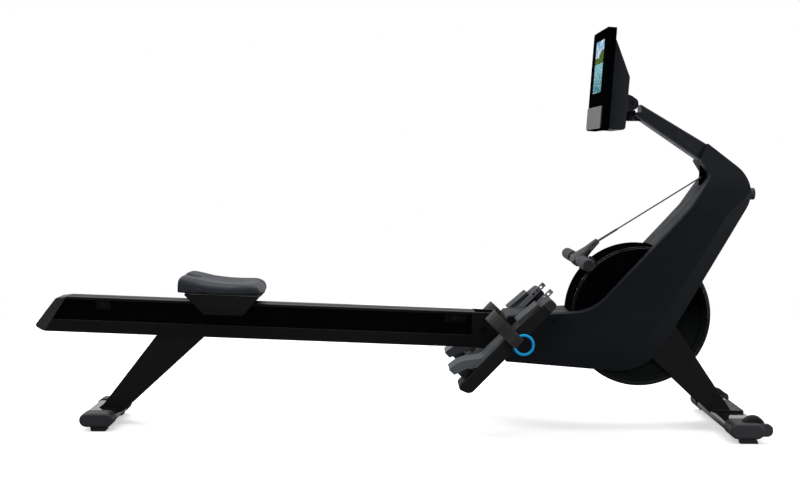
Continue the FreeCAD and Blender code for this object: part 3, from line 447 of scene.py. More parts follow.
MATERIALS = {
    # The shell's bevel colour is painted light on its bevel band.
    "shell": moulded("shell", (0.0085, 0.0098, 0.0125), (0.012, 0.0137, 0.017), 0.46, grain=0.35,
                     depth=0.02, edge=1.2, wear=0.5, blotch=160, specular=0.1,
                     bevel=(0.024, 0.027, 0.033)),
    "casing": make_casing(),
    "frame_paint": moulded("frame_paint", (0.005, 0.0051, 0.0056), (0.008, 0.0082, 0.009), 0.38,
                           grain=1.1, depth=0.03, edge=1.2, wear=0.8, specular=0.22),
    "tube_gloss": moulded("tube_gloss", (0.006, 0.006, 0.0066), (0.01, 0.01, 0.011), 0.14, grain=1.4,
                          depth=0.02, edge=0.8, wear=0.4, coat=1.0, specular=0.9),
    "rail_metal": make_rail(),
    "trim_plastic": moulded("trim_plastic", (0.02, 0.021, 0.024), (0.03, 0.032, 0.036), 0.5, grain=0.6,
                            depth=0.03),
    "steel": make_turned_steel(),
    "cast": moulded("cast", (0.1, 0.1, 0.105), (0.16, 0.16, 0.165), 0.4, grain=0.8, depth=0.05,
                    metallic=1.0),
    "rubber_black": moulded("rubber_black", (0.008, 0.008, 0.008), (0.015, 0.015, 0.015), 0.75,
                            grain=0.9, depth=0.06, wear=0.3, spread=0.1),
    "seat_cover": make_seat_cover(),
    "grip_foam": make_foam(),
    "webbing": make_webbing("webbing", (0.008, 0.007, 0.0065), (0.042, 0.035, 0.031)),
    "foot_grey": make_ribbed("foot_grey", (0.085, 0.093, 0.102), (0.13, 0.14, 0.152), 4.5 * MM, 0.5,
                             39 * MM, 43.6 * MM),
    "ring_blue": moulded("ring_blue", (0.006, 0.42, 0.95), (0.01, 0.5, 1.0), 0.3, grain=2,
                         depth=0.01, wear=0.15, specular=0.15),
    "screen": make_screen(),
    "speaker_mesh": make_speaker(),
}
PULL_WEBBING = make_webbing("pull_webbing", (0.006, 0.006, 0.0065), (0.022, 0.022, 0.024))
PEDAL_PLATE = make_pedal_side()
# The post's pale colour on faces that look down is a painted reflection of the floor.
POST_PAINT = moulded("post_paint", (0.015, 0.0165, 0.021), (0.022, 0.0245, 0.031), 0.36, grain=1.1,
                     depth=0.03, edge=2.5, wear=0.9, specular=0.3, painted_underside_light=(0.16, 0.175, 0.2))
DISPLAY_SHELL = moulded("display_shell", (0.02, 0.022, 0.027), (0.028, 0.031, 0.037), 0.42, grain=0.5,
                        depth=0.02, edge=1.2, wear=0.5, specular=0.15)
DARK_FIXINGS = moulded("dark_fixings", (0.003, 0.003, 0.0034), (0.006, 0.006, 0.0066), 0.5, grain=0.5,
                       depth=0.03, wear=0.3, specular=0.1)
LIP_GLOSS = moulded("lip_gloss", (0.004, 0.004, 0.0045), (0.007, 0.007, 0.008), 0.12, grain=3,
                    depth=0.002, wear=0.1, coat=1.0)
CARRIAGE_PLASTIC = moulded("carriage_plastic", (0.0075, 0.0066, 0.0062), (0.012, 0.0107, 0.01), 0.5,
                           grain=0.8, depth=0.05, wear=0.5, specular=0.25)


THREAD = moulded("thread", (0.09, 0.08, 0.072), (0.14, 0.125, 0.115), 0.7, grain=0.3, depth=0.05)
OWN_MATERIALS = {
    "pedal_base_right": PEDAL_PLATE,
    "pedal_base_left": PEDAL_PLATE,
    "seat_carriage": CARRIAGE_PLASTIC,
    "display_post": POST_PAINT,
    "display_back": DISPLAY_SHELL,
    "housing_screws": DARK_FIXINGS,
    "fold_pin": DARK_FIXINGS,
    "seat_stops": DARK_FIXINGS,
}


def dress_frame():
    """Every CAD node that stays gets the material of its slot, or its own one."""
    for part in frame["record"]["subparts"]:
        node = NODES[part["node"]]
        material = OWN_MATERIALS.get(part["node"], MATERIALS[part["material_slot"]])
        node.data.materials.clear()
        node.data.materials.append(material)


# ---- mesh helpers
def new_mesh(name, verts, faces, weld=0.0):
    """A mesh with its faces turned outwards; points closer than weld are joined."""
    mesh = bpy.data.meshes.new(name)
    mesh.from_pydata([tuple(v) for v in verts], [], faces)
    mesh.validate()
    shape = bmesh.new()
    shape.from_mesh(mesh)
    if weld:
        bmesh.ops.remove_doubles(shape, verts=shape.verts, dist=weld)
    bmesh.ops.recalc_face_normals(shape, faces=shape.faces)
    shape.to_mesh(mesh)
    shape.free()
    return mesh


def show(mesh, material, body, sharp):
    """The mesh's object in the scene, shaded smooth below the sharp angle in degrees, riding on a body."""
    mesh.materials.append(material)
    mesh.polygons.foreach_set("use_smooth", [True] * len(mesh.polygons))
    mesh.set_sharp_from_angle(angle=math.radians(sharp))
    obj = bpy.data.objects.new(mesh.name, mesh)
    bpy.context.scene.collection.objects.link(obj)
    if body:
        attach(obj, body)
    return obj


def piece(name, verts, faces, body, slot, material=None, bevel=0.0, levels=0, sharp=35.0):
    """A new piece of the visual model, with its edges rounded by bevel or smoothed by subdivision."""
    obj = show(new_mesh(name, verts, faces, weld=1e-6), material or MATERIALS[slot], body, sharp)
    if bevel:
        modifier = obj.modifiers.new("round", "BEVEL")
        modifier.width = bevel
        modifier.segments = 4
        modifier.limit_method = "ANGLE"
        modifier.angle_limit = math.radians(sharp)
        modifier.harden_normals = True
    if levels:
        modifier = obj.modifiers.new("smooth", "SUBSURF")
        modifier.levels = levels
        modifier.render_levels = levels
    return obj


def bridge(rings, closed=True, capped=True):
    """Faces between rings of equal length, with a flat cap at each end."""
    count = len(rings[0])
    verts = [point for ring in rings for point in ring]
    faces = []
    last = count if closed else count - 1
    for level in range(len(rings) - 1):
        for index in range(last):
            following = (index + 1) % count
            low = level * count
            faces.append((low + index, low + following, low + count + following, low + count + index))
    if capped:
        faces.append(tuple(reversed(range(count))))
        faces.append(tuple(range(len(verts) - count, len(verts))))
    return verts, faces


def lofted(name, rings, body, slot, material=None, **looks):
    """A new piece with a skin over rings and flat ends."""
    return piece(name, *bridge(rings), body, slot, material, **looks)


def circle(centre, first, second, radius, count, other_radius=None):
    """Ring in the plane of two directions; other_radius, along the second, makes it an ellipse."""
    ring = []
    for index in range(count):
        angle = 2 * math.pi * index / count
        ring.append(centre + first * (math.cos(angle) * radius)
                    + second * (math.sin(angle) * (other_radius or radius)))
    return ring


def turned_rings(profile, centre, axis, side, count=48):
    """Rings of a lathe profile of (distance along the axis, radius)."""
    other = axis.cross(side).normalized()
    return [circle(centre + axis * along, side, other, radius, count) for along, radius in profile]


def rounded_rectangle(half_length, half_width, corner, steps=8):
    """Outline with round corners, as pairs along its length and across its width."""
    outline = []
    for sx, sy, start in ((1, 1, 0), (-1, 1, 90), (-1, -1, 180), (1, -1, 270)):
        for step in range(steps + 1):
            angle = math.radians(start + 90 * step / steps)
            outline.append((sx * (half_length - corner) + corner * math.cos(angle),
                            sy * (half_width - corner) + corner * math.sin(angle)))
    return outline


def smooth_path(points, steps=8):
    """Catmull-Rom curve through the points."""
    path = []
    ends = [points[0] * 2 - points[1], *points, points[-1] * 2 - points[-2]]
    for index in range(1, len(ends) - 2):
        a, b, c, d = ends[index - 1:index + 3]
        for step in range(steps):
            t = step / steps
            path.append(0.5 * (2 * b + (c - a) * t + (2 * a - 5 * b + 4 * c - d) * t * t
                               + (3 * b - a - 3 * c + d) * t ** 3))
    path.append(points[-1])
    return path


def ribbon(name, path, width_axis, half_width, thickness, material, body, stitch_rows=()):
    """Flat strap along a path, whose points store metres along, metres across and metres to a stitch row."""
    across_steps = 12
    rings = []
    run = 0.0
    weave = []
    for index, point in enumerate(path):
        before = path[max(index - 1, 0)]
        after = path[min(index + 1, len(path) - 1)]
        if index:
            run += (point - path[index - 1]).length
        normal = (after - before).normalized().cross(width_axis).normalized()
        ring = []
        half = thickness(run) / 2 if callable(thickness) else thickness / 2
        shares = [-1 + 2 * step / across_steps for step in range(across_steps + 1)]
        for side in (1, -1):
            for share in shares if side > 0 else reversed(shares):
                inner = 1 - max(0.0, (abs(share) - 0.85) / 0.15) ** 2 * 0.7
                ring.append(point + width_axis * half_width * share + normal * half * side * inner)
                across = half_width * share
                row = min([abs(abs(across) - place) for place in stitch_rows] or [1.0])
                weave.append((run, across, row))
        rings.append(ring)
    mesh = new_mesh(name, *bridge(rings))
    attribute = mesh.attributes.new("weave", "FLOAT_VECTOR", "POINT")
    attribute.data.foreach_set("vector", [value for row in weave for value in row])
    return show(mesh, material, body, 50)


def button_head(name, point, outward, radius, body, material=None):
    """Low domed screw head with a hexagon socket, standing on a surface."""
    side = outward.cross(Vector((0.3, 0.2, 0.9))).normalized()
    count = 24
    rings = turned_rings([(0, radius), (0.25 * radius, radius), (0.42 * radius, radius * 0.86),
                          (0.5 * radius, radius * 0.6)], point, outward, side, count)
    other = outward.cross(side).normalized()
    for depth in (0.5 * radius, 0.12 * radius):
        ring = []
        for index in range(count):
            angle = 2 * math.pi * index / count
            reach = math.cos(math.pi / 6) / math.cos(angle % (math.pi / 3) - math.pi / 6)
            offset = (side * math.cos(angle) + other * math.sin(angle)) * radius * 0.5 * reach
            ring.append(point + outward * depth + offset)
        rings.append(ring)
    return lofted(name, rings, body, "steel", material, sharp=30)


def painted_screw(name, point, outward, radius, body):
    button_head(name, point, outward, radius * MM, body, MATERIALS["frame_paint"])


def interpolate(stations, where):
    """Piecewise-linear value from (place, value) stations."""
    for (a, first), (b, second) in zip(stations, stations[1:]):
        if where <= b:
            share = max(0.0, (where - a) / (b - a))
            return first + (second - first) * share
    return stations[-1][1]


def ease(value, low, high):
    share = min(1.0, max(0.0, (value - low) / (high - low)))
    return share * share * (3 - 2 * share)


# ---- seat
PAD_BASE = 32.4 * MM
PAD_HORN = [(-140, 49), (-118, 46), (-90, 40), (-50, 32), (0, 27.5), (50, 27), (95, 28), (131, 22)]
PAD_HALF = [(-140, 128), (-100, 136), (0, 139), (90, 136), (131, 122)]
PAD_REAR, PAD_FRONT = 141.0, 127.0
CORNER_PULL = 0.13


def pad_top(along, y, rim):
    """Height of the pad above its base, in metres, for a place in millimetres."""
    height = interpolate(PAD_HORN, along)
    saddle = 3.5 * (1 - min(1.0, abs(y) / 90) ** 2)
    notch = 27 * (1 - ease(abs(y), 12, 34)) * (1 - ease(along, -118, -70))
    round_over = 8 * (1 - math.sqrt(max(0.0, 1 - ease(rim, 0.9, 1.0) ** 2)))
    nose = 12 * ease(along, 96, 131) ** 2
    return (height - saddle - notch - round_over - nose) * MM


def pad_blank():
    """Closed starting shape of the seat pad, slightly smaller than the finished one."""
    rows, columns = 41, 49
    verts = []
    for bottom in (False, True):
        for i in range(rows):
            for j in range(columns):
                u = -1 + 2 * i / (rows - 1)
                v = -1 + 2 * j / (columns - 1)
                along = (PAD_FRONT if u > 0 else PAD_REAR) * u * math.sqrt(1 - CORNER_PULL * v * v)
                half = interpolate(PAD_HALF, along)
                y = half * v * math.sqrt(1 - CORNER_PULL * u * u)
                rim = max(abs(u), abs(v))
                height = 0.0 if bottom else pad_top(along, y, rim)
                if bottom:
                    along *= 1.03 if u < 0 else 0.93
                    y *= 0.985
                verts.append(on_seat(along * MM, y * MM, PAD_BASE + height))
    faces = []
    layer = rows * columns
    for i in range(rows - 1):
        for j in range(columns - 1):
            a = i * columns + j
            quad = (a, a + 1, a + columns + 1, a + columns)
            faces.append(quad)
            faces.append(tuple(layer + k for k in reversed(quad)))
    loop = [j for j in range(columns)]
    loop += [i * columns + columns - 1 for i in range(1, rows)]
    loop += [(rows - 1) * columns + j for j in range(columns - 2, -1, -1)]
    loop += [i * columns for i in range(rows - 2, 0, -1)]
    for a, b in zip(loop, loop[1:] + loop[:1]):
        faces.append((b, a, a + layer, b + layer))
    return verts, faces


def apply_modifiers(obj):
    """Bake the modifiers into the mesh."""
    graph = bpy.context.evaluated_depsgraph_get()
    mesh = bpy.data.meshes.new_from_object(obj.evaluated_get(graph))
    obj.modifiers.clear()
    obj.data = mesh


def inflate(obj, pressure, frames, cap):
    """Cloth simulation: the closed skin swells under pressure, and no point moves further than the cap."""
    start = [v.co.copy() for v in obj.data.vertices]
    cloth = obj.modifiers.new("skin", "CLOTH")
    cloth.point_cache.frame_end = frames
    settings = cloth.settings
    settings.quality = 5
    settings.mass = 0.3
    settings.tension_stiffness = 20
    settings.compression_stiffness = 20
    settings.use_pressure = True
    settings.uniform_pressure_force = pressure
    settings.effector_weights.gravity = 0
    scene = bpy.context.scene
    for number in range(1, frames + 1):
        scene.frame_set(number)
    graph = bpy.context.evaluated_depsgraph_get()
    swollen = [v.co.copy() for v in obj.evaluated_get(graph).data.vertices]
    obj.modifiers.clear()
    for vertex, before, after in zip(obj.data.vertices, start, swollen):
        move = after - before
        if move.length > cap:
            move = move.normalized() * cap
        vertex.co = before + move
    scene.frame_set(1)


def seat_pad():
    pad = piece("seat_pad_skin", *pad_blank(), None, "seat_cover", sharp=180)
    remesh = pad.modifiers.new("remesh", "REMESH")
    remesh.mode = "VOXEL"
    remesh.voxel_size = 4.5 * MM
    apply_modifiers(pad)
    inflate(pad, 4.0, 20, 5 * MM)
    floor = SEAT.dot(RAIL_UP) + PAD_BASE - 0.2 * MM
    for vertex in pad.data.vertices:
        lift = floor - vertex.co.dot(RAIL_UP)
        if lift > 0:
            vertex.co += RAIL_UP * lift
    smooth = pad.modifiers.new("even", "SMOOTH")
    smooth.factor = 0.5
    smooth.iterations = 6
    subdivide = pad.modifiers.new("subdivide", "SUBSURF")
    subdivide.levels = 1
    subdivide.render_levels = 1
    apply_modifiers(pad)
    pad.data.materials.clear()
    pad.data.materials.append(MATERIALS["seat_cover"])
    pad.data.polygons.foreach_set("use_smooth", [True] * len(pad.data.polygons))
    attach(pad, "seat")
    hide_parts("seat_pad")


def plan_ring(half_length, half_width, corner, height):
    """Rounded rectangle on the seat, at one height."""
    return [on_seat(along, y, height) for along, y in rounded_rectangle(half_length, half_width, corner)]


def seat_tray():
    """Thin moulded tray that the pad is bonded to."""
    levels = [(107, 126, 29.8), (111, 131, 30.4), (112, 133, 31.4), (111, 132, 32.6)]
    rings = [plan_ring(a * MM, b * MM, 26 * MM, h * MM) for a, b, h in levels]
    tray = moulded("tray_plastic", (0.02, 0.0165, 0.015), (0.032, 0.027, 0.025), 0.45)
    lofted("seat_tray", rings, "seat", "trim_plastic", tray, sharp=60)


def seat_shrouds():
    """Flared side walls of the seat carriage, outside the roller plates."""
    wall = [(-112, 129, 29.4), (112, 129, 29.4), (60, 63, -37.5), (-60, 63, -37.5)]
    inner_y = 52.2
    bolt_along, bolt_y, bolt_radius, sunk = 78, 98, 5 * MM, 1.4 * MM
    for side, sign in SIDES:
        outer = [on_seat(a * MM, sign * y * MM, h * MM) for a, y, h in wall]
        inner = [on_seat(a * MM, sign * inner_y * MM, h * MM) for a, _, h in wall]
        lofted(f"seat_shroud_{side}", [outer, inner], "seat", "trim_plastic", CARRIAGE_PLASTIC,
               bevel=3 * MM, sharp=25)
        top = wall[0][2] * MM
        for end, along in (("rear", -bolt_along), ("front", bolt_along)):
            spot = on_seat(along * MM, sign * bolt_y * MM, top) - RAIL_UP * sunk
            button_head(f"seat_bolt_{side}_{end}", spot, -RAIL_UP, bolt_radius, "seat")


# ---- handle
HANDLE = flat(sum(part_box("handle_bar"), Vector()) / 2)
PULL_ALONG = -joint_axis("handle_pull")


def strap_ends():
    """Middle of the pull strap where it leaves the guide pulley and where it enters the yoke."""
    low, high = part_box("pull_strap")
    normal = PULL_ALONG.cross(ACROSS)
    half_thick = Vector((abs(normal.x), 0, abs(normal.z))) * 1.0 * MM
    return flat(high) - half_thick, flat(low) + half_thick


def handle_grips():
    """Foam sleeves with a rounded end, and the rubber cap in each."""
    profile = [(91.5, 11.3), (91.5, 15.6), (93, 17.0), (96, 17.6), (120, 17.9), (174, 18.2), (228, 17.9),
               (250, 17.5), (253.5, 16.6), (255, 15.2), (253.8, 14.6)]
    for side, sign in SIDES:
        axis = ACROSS * sign
        rings = turned_rings([(a * MM, r * MM) for a, r in profile], HANDLE, axis, UP, 64)
        grip = lofted(f"foam_grip_{side}", rings, "handle", "grip_foam", sharp=60)
        if sign < 0:
            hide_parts("handle_grips")
        cap = [(252, 14.3), (254.4, 14.3), (255.4, 13.4), (255.6, 9), (255.0, 8), (255.0, 1.5)]
        rings = turned_rings([(a * MM, r * MM) for a, r in cap], HANDLE, axis, UP, 48)
        lofted(f"grip_cap_{side}", rings, "handle", "rubber_black", sharp=40)


def rounded_ring(centre, along, upward, half_height, half_width, power=4.0, count=48):
    """Superellipse across a direction."""
    ring = []
    for index in range(count):
        angle = 2 * math.pi * index / count
        c, s = math.cos(angle), math.sin(angle)
        y = math.copysign(abs(c) ** (2 / power), c) * half_width
        h = math.copysign(abs(s) ** (2 / power), s) * half_height
        ring.append(centre + ACROSS * y + upward * h)
    return ring


# Section of the yoke's gloss insert: share of its half height, and millimetres in from its face.
INSERT_SECTION = [(-1, 0.9), (-0.5, 0.45), (0, 0), (0.5, 0.45), (1, 0.9), (1, 3), (0, 3), (-1, 3)]


def handle_yoke():
    """Tapered centre piece that joins the bar to the strap, with a gloss insert on each flank."""
    _, lower = strap_ends()
    along = (lower - HANDLE).normalized()
    reach = (lower - HANDLE).length / MM
    upward = along.cross(ACROSS)
    upward = upward if upward.z > 0 else -upward
    stations = [(-19, 9, 40), (-17.5, 13, 44), (-10, 16, 46), (6, 17, 45.5), (18, 16, 41), (32, 13.6, 31),
                (46, 11.4, 22), (reach - 8, 9.6, 17), (reach + 7, 8, 15.2), (reach + 9.5, 6.5, 13.8)]
    rings = []
    for place, half_height, half_width in stations:
        rings.append(rounded_ring(HANDLE + along * place * MM, along, upward, half_height * MM,
                                  half_width * MM))
    yoke = lofted("yoke_body", rings, "handle", "trim_plastic", sharp=50)
    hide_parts("handle_yoke")
    gloss = moulded("yoke_gloss", (0.01, 0.01, 0.014), (0.016, 0.016, 0.02), 0.16, grain=1.5,
                    depth=0.01, coat=0.6)
    for side, sign in SIDES:
        rings = []
        for place, half_height, width in ((12, 2, 43.2), (15, 7.5, 42.6), (26, 9, 35.6), (40, 7.6, 26.2),
                                          (50, 5, 20.6), (53, 1.5, 19.4)):
            centre = HANDLE + along * place * MM + ACROSS * sign * (width + 0.3) * MM
            ring = []
            for share, sunk in INSERT_SECTION:
                ring.append(centre + (upward * half_height * share - ACROSS * sign * sunk) * MM)
            rings.append(ring)
        lofted(f"yoke_insert_{side}", rings, "handle", "casing", gloss, levels=1, sharp=180)


def pull_strap():
    """Webbing from the column to the yoke; its end is folded back on itself and sewn."""
    upper, lower = strap_ends()
    doubled = 80 * MM
    steps = 90
    path = [lower.lerp(upper, index / steps) for index in range(steps + 1)]

    def thickness(run):
        return (2.0 + 2.4 * (1 - ease(run, doubled - 4 * MM, doubled))) * MM
    strap = ribbon("pull_webbing_run", path, ACROSS, 12 * MM, thickness, PULL_WEBBING, None,
                   stitch_rows=(9.5 * MM,))
    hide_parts("pull_strap")
    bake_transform(strap)


# ---- pedals
STRAP_LOW, STRAP_HIGH = -11 * MM, 27 * MM
STRAP_FOOT, STRAP_CROWN = 36.0, 120.0
STRAP_ARCH = [(228.2, 3), (228.4, 20), (228.0, 44), (225.0, 70), (213, 94), (193, 113), (167, 120),
              (144, 112), (127, 93), (117.6, 68), (115.6, 50), (115.5, 34)]
STRAP_FLAP = [(229.2, 4), (230.5, -1.5), (236, -4.2), (241.2, -1), (242, 7), (240.6, 17), (235, 28),
              (231.6, 38), (230.3, 50), (229.4, 62)]


def strap_arch(side):
    """The arch, scaled to the height that this side's strap has in the frame."""
    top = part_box(f"foot_strap_{side}")[1].z - PEDAL_PIVOT.z - STRAP_HIGH * TOE.z
    share = (top / PEDAL_UP.z / MM - 1.5 - STRAP_FOOT) / (STRAP_CROWN - STRAP_FOOT)
    return [(y, w if w < STRAP_FOOT else STRAP_FOOT + (w - STRAP_FOOT) * share) for y, w in STRAP_ARCH]


def foot_straps():
    """Webbing over each foot, and the sewn flap that folds round its pull ring."""
    middle_u = (STRAP_LOW + STRAP_HIGH) / 2
    half = (STRAP_HIGH - STRAP_LOW) / 2
    for side, sign in SIDES:
        body = f"pedal_{side}"
        for name, outline, thickness, rows in (("foot_webbing", strap_arch(side), 2.2, ()),
                                               ("foot_flap", STRAP_FLAP, 1.9, (half - 3 * MM,))):
            points = [on_pedal(middle_u, sign * y * MM, w * MM) for y, w in outline]
            strap = ribbon(f"{name}_{side}", smooth_path(points), TOE, half, thickness * MM,
                           MATERIALS["webbing"], body, stitch_rows=rows)
            if name == "foot_webbing":
                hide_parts(f"foot_strap_{side}")
        for index, height in enumerate((31.5, 34.5, 57.5)):
            y = 232.9 - 0.1 * (height - 31.5)
            seam(f"flap_seam_{side}_{index}", on_pedal(STRAP_LOW + 2 * MM, sign * y * MM, height * MM),
                 TOE, ACROSS * sign, 34 * MM, body)


def seam(name, start, along, outward, length, body):
    """A row of thread stitches, each a small raised lozenge."""
    pitch, reach, half = 3.2 * MM, 2.3 * MM, 0.45 * MM
    across = along.cross(outward).normalized()
    verts, faces = [], []
    for index in range(int(length / pitch)):
        begin = start + along * (index * pitch + 0.5 * MM)
        centre = begin + along * reach * 0.5
        first = len(verts)
        verts += [begin, centre + across * half, begin + along * reach, centre - across * half]
        verts += [centre + outward * 0.5 * MM, centre - outward * 0.6 * MM]
        for a, b in ((0, 1), (1, 2), (2, 3), (3, 0)):
            faces.append((first + a, first + b, first + 4))
            faces.append((first + b, first + a, first + 5))
    piece(name, verts, faces, body, "webbing", THREAD, sharp=180)

# ---- housing, legs and display details
# Front edge of the front leg, from its shoulder down to its foot, in millimetres on the middle plane.
LEG_SHOULDER, LEG_FOOT = Vector((925.5, 0, 200.9)), Vector((1018, 0, 64.3))


def leg_bolts():
    """Two rows of bolts up the front leg."""
    slope = (LEG_FOOT - LEG_SHOULDER).normalized()
    outward = Vector((-slope.z, 0, slope.x))
    bolt_y = 52
    for index, reach in enumerate((58, 96)):
        for side, sign in SIDES:
            spot = (LEG_FOOT - slope * reach + ACROSS * sign * bolt_y) * MM
            painted_screw(f"leg_bolt_{index}_{side}", spot, outward, 6.5, "frame")


def leg_welds():
    """A weld bead on each side, where the front leg meets its foot bar."""
    start_x, pitch, bead_y, height, ripple = 970, 1.95, 84.6, 64.6, 0.25
    for side, sign in SIDES:
        bead = []
        for index in range(25):
            y = sign * (bead_y + ripple * math.sin(index * 2.1))
            bead.append(Vector((start_x + index * pitch, y, height)) * MM)
        tube(f"leg_weld_{side}", bead, 1.7 * MM, "frame", "frame_paint")


def post_grommets():
    """Oval rubber plug in each side of the display post."""
    lean = math.radians(-34)
    along = Vector((math.cos(lean), 0, math.sin(lean)))
    across = Vector((-along.z, 0, along.x))
    longer = 2.4
    for side, sign in SIDES:
        centre = Vector((798, sign * 36.0, 928)) * MM
        rings = []
        for radius, out in ((5.4, -1.0), (5.4, 0.7), (4.6, 1.1), (3.8, 0.8), (3.5, -0.6)):
            rings.append(circle(centre + ACROSS * sign * out * MM, along, across, (radius + longer) * MM, 32,
                                radius * MM))
        lofted(f"post_grommet_{side}", rings, "frame", "rubber_black", sharp=50)


def tube(name, points, radius, body, slot):
    """Round bead along points, as a mesh."""
    rings = []
    for index, point in enumerate(points):
        before, after = points[max(index - 1, 0)], points[min(index + 1, len(points) - 1)]
        axis = (after - before).normalized()
        side = axis.cross(UP).normalized()
        swell = radius * (1 + 0.12 * math.sin(index * 1.7))
        rings += turned_rings([(0, swell)], point, axis, side, 12)
    lofted(name, rings, body, slot, sharp=60)


def display_point(back, y, up):
    """From display coordinates: back from the front face, up from its lower edge."""
    depth = 24.4 * MM
    low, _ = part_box("display_frame")
    foot = Vector((low.x, 0, low.z + depth * math.sin(DISPLAY_LEAN)))
    backward = Vector((math.cos(DISPLAY_LEAN), 0, -math.sin(DISPLAY_LEAN)))
    upward = Vector((math.sin(DISPLAY_LEAN), 0, math.cos(DISPLAY_LEAN)))
    return foot + backward * back + ACROSS * y + upward * up


def display_details():
    """Cooling slots and screws on the back of the display."""
    foot = display_point(79.4 * MM, 0, 20 * MM)
    upward = (display_point(79.9 * MM, 0, 150 * MM) - foot).normalized()
    outward = upward.cross(ACROSS).normalized()
    outward = outward if outward.x > 0 else -outward
    slot_half, slot_radius, slot_y = 22, 1.9, 66
    for index in range(9):
        for side, sign in SIDES:
            centre = foot + upward * (62 + index * 7) * MM + ACROSS * sign * slot_y * MM
            rings = []
            for grow, out in ((0.0, -0.4), (0.0, 0.5), (-0.7, 0.8), (-1.2, -0.3)):
                radius = slot_radius + grow
                rings.append([centre + ACROSS * y * MM + upward * z * MM + outward * out * MM
                              for y, z in rounded_rectangle(slot_half + radius, radius, radius, 4)])
            lofted(f"display_vent_{side}_{index}", rings, "display", "rubber_black", sharp=50)
    for side, sign in SIDES:
        for name, up in (("low", 8), ("high", 136)):
            spot = foot + upward * up * MM + ACROSS * sign * 98 * MM
            painted_screw(f"display_screw_{side}_{name}", spot, outward, 3.6, "display")


def rail_point(x):
    """Point on the rail's top face, on the middle plane, at that x."""
    return SEAT + RAIL_ALONG * ((x - SEAT.x) / RAIL_ALONG.x)


def rail_details():
    """A screw in each end stop of the seat, on both sides of the rail."""
    low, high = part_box("seat_stops")
    drop = 21.5 * MM
    for side, sign in SIDES:
        for name, x in (("rear", low.x + 21 * MM), ("front", high.x - 33 * MM)):
            spot = rail_point(x) - RAIL_UP * drop + ACROSS * sign * high.y
            painted_screw(f"stop_screw_{side}_{name}", spot, ACROSS * sign, 5.5, "rail")


def drum_spoke(angle):
    return Vector((math.cos(angle), 0, math.sin(angle)))


def drum_face(side, sign):
    """Distance of a drum half's outer face from the middle plane."""
    low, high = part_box(f"flywheel_casing_{side}")
    return high.y if sign > 0 else -low.y


def drum_lips():
    """Two fine gloss beads round the rolled rim of each drum half."""
    fillet, bead, proud = 16 * MM, 1.0 * MM, 0.2 * MM
    around, across = 180, 8
    for side, sign in SIDES:
        low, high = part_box(f"flywheel_casing_{side}")
        inner = (high.x - low.x) / 2 - fillet
        for index, share in enumerate((0.59, 0.28)):
            radius = inner + fillet * share
            out = drum_face(side, sign) - fillet + fillet * math.sqrt(1 - share * share) + proud
            rings = []
            for step in range(around):
                spoke = drum_spoke(2 * math.pi * step / around)
                rings.append(circle(DRUM + spoke * radius + ACROSS * sign * out, spoke, ACROSS * sign, bead,
                                    across))
            verts, faces = bridge(rings + rings[:1], capped=False)
            piece(f"drum_lip_{side}_{index}", verts, faces, "frame", "casing", LIP_GLOSS, sharp=180)


def drum_screws():
    """Three small screws round the dish of each drum half."""
    reach, dish = 172 * MM, 5 * MM
    for side, sign in SIDES:
        for index, degrees in enumerate((-42, 78, 198)):
            spot = DRUM + drum_spoke(math.radians(degrees)) * reach
            spot += ACROSS * sign * (drum_face(side, sign) - dish)
            painted_screw(f"drum_screw_{side}_{index}", spot, ACROSS * sign, 4, "frame")


# ---- studio
WHITE = (1.0, 1.0, 1.0, 1.0)


def make_floor():
    """White floor disc, bright to the camera and dull to everything that it lights."""
    centre, radius = Vector((0, 0, 0)), 3.4
    first, second = Vector((1, 0, 0)), Vector((0, 1, 0))
    count = 96
    rings = [circle(centre, first, second, radius * share, count) for share in (1.0, 0.5, 0.1)]
    verts, faces = bridge(rings, capped=False)
    faces.append(tuple(range(len(verts) - count, len(verts))))
    mesh = bpy.data.meshes.new("floor")
    mesh.from_pydata([tuple(v) for v in verts], [], faces)
    floor = bpy.data.objects.new("floor", mesh)
    bpy.context.scene.collection.objects.link(floor)
    f = Finish("floor_paint")
    f.set(Base_Color=f.mix(f.noise(500, 2.0), (0.93, 0.93, 0.935), (0.95, 0.95, 0.955)), Roughness=0.9,
          Specular_IOR_Level=0.1, Emission_Color=WHITE, Emission_Strength=0.5)
    dull = f.add("ShaderNodeBsdfDiffuse", {"Color": (0.25, 0.25, 0.255, 1.0)})
    seen = f.add("ShaderNodeLightPath").outputs["Is Camera Ray"]
    choose = f.add("ShaderNodeMixShader", {0: seen, 1: dull.outputs[0], 2: f.shader.outputs[0]})
    output = next(node for node in f.tree.nodes if node.type == "OUTPUT_MATERIAL")
    f.put(output.inputs["Surface"], choose.outputs[0])
    mesh.materials.append(f.material)


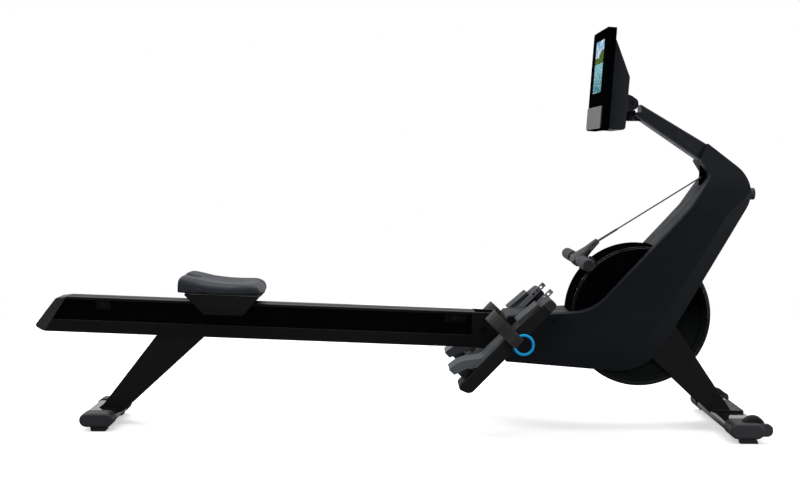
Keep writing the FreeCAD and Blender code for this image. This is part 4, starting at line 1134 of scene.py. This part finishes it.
def make_world():
    """Soft white studio: bright overhead and behind, dim in front, and a white backdrop."""
    world = bpy.data.worlds.new("studio")
    world.use_nodes = True
    world.node_tree.nodes.clear()
    graph = Graph(world.node_tree)
    direction = graph.add("ShaderNodeTexCoord").outputs["Generated"]
    way = graph.split(direction)
    overhead = graph.spread(way["Z"], 0.4, 0.9, 0.06, 0.75)
    behind = graph.spread(way["Y"], 0.2, 0.9, 0.0, 0.6)
    strength = graph.sum("MAXIMUM", overhead, behind)
    light = graph.add("ShaderNodeBackground", {"Color": WHITE, "Strength": strength})
    backdrop = graph.add("ShaderNodeBackground", {"Color": WHITE})
    seen = graph.add("ShaderNodeLightPath").outputs["Is Camera Ray"]
    choose = graph.add("ShaderNodeMixShader", {0: seen, 1: light.outputs[0], 2: backdrop.outputs[0]})
    graph.add("ShaderNodeOutputWorld", {"Surface": choose.outputs[0]})
    bpy.context.scene.world = world


def softbox(name, place, target, width, height, power):
    """Rectangular soft light at a place, turned to a target."""
    light = bpy.data.lights.new(name, "AREA")
    light.shape = "RECTANGLE"
    light.size = width
    light.size_y = height
    light.energy = power
    obj = bpy.data.objects.new(name, light)
    obj.location = place
    obj.rotation_euler = (Vector(target) - Vector(place)).to_track_quat("-Z", "Y").to_euler()
    bpy.context.scene.collection.objects.link(obj)


def make_lights():
    softbox("overhead", (0.0, 0.3, 2.9), (0, 0, 0.3), 4.5, 2.2, 60)
    softbox("rear_left", (-2.6, 2.2, 1.7), (0.4, 0, 0.4), 0.35, 2.2, 40)
    softbox("front_fill", (-1.6, -3.4, 2.4), (0.2, 0, 0.4), 2.2, 1.4, 26)
    softbox("front_right", (3.0, -2.2, 0.7), (0.8, 0, 0.5), 1.0, 1.8, 30)


def make_camera():
    """Side view from a little above, square to the machine."""
    camera = bpy.data.cameras.new("camera")
    camera.lens = 61.54
    camera.sensor_width = 36.0
    camera.clip_end = 50.0
    place = Vector((0.00274, -4.190, 0.8303))
    pitch, yaw, roll = 0.06936, 0.00219, 0.0063
    ahead = Vector((math.sin(yaw) * math.cos(pitch), math.cos(yaw) * math.cos(pitch), -math.sin(pitch)))
    right = Vector((math.cos(yaw), -math.sin(yaw), 0))
    upward = right.cross(ahead)
    side = right * math.cos(roll) + upward * math.sin(roll)
    top = upward * math.cos(roll) - right * math.sin(roll)
    turn = Matrix((side, top, -ahead)).transposed()
    obj = bpy.data.objects.new("camera", camera)
    obj.matrix_world = Matrix.Translation(place) @ turn.to_4x4()
    bpy.context.scene.collection.objects.link(obj)
    bpy.context.scene.camera = obj


make_camera()
make_world()
make_lights()
make_floor()
bpy.context.scene.view_settings.view_transform = "Standard"

dress_frame()
seat_pad()
seat_tray()
seat_shrouds()
handle_grips()
handle_yoke()
pull_strap()
foot_straps()
leg_bolts()
leg_welds()
post_grommets()
display_details()
rail_details()
drum_lips()
drum_screws()
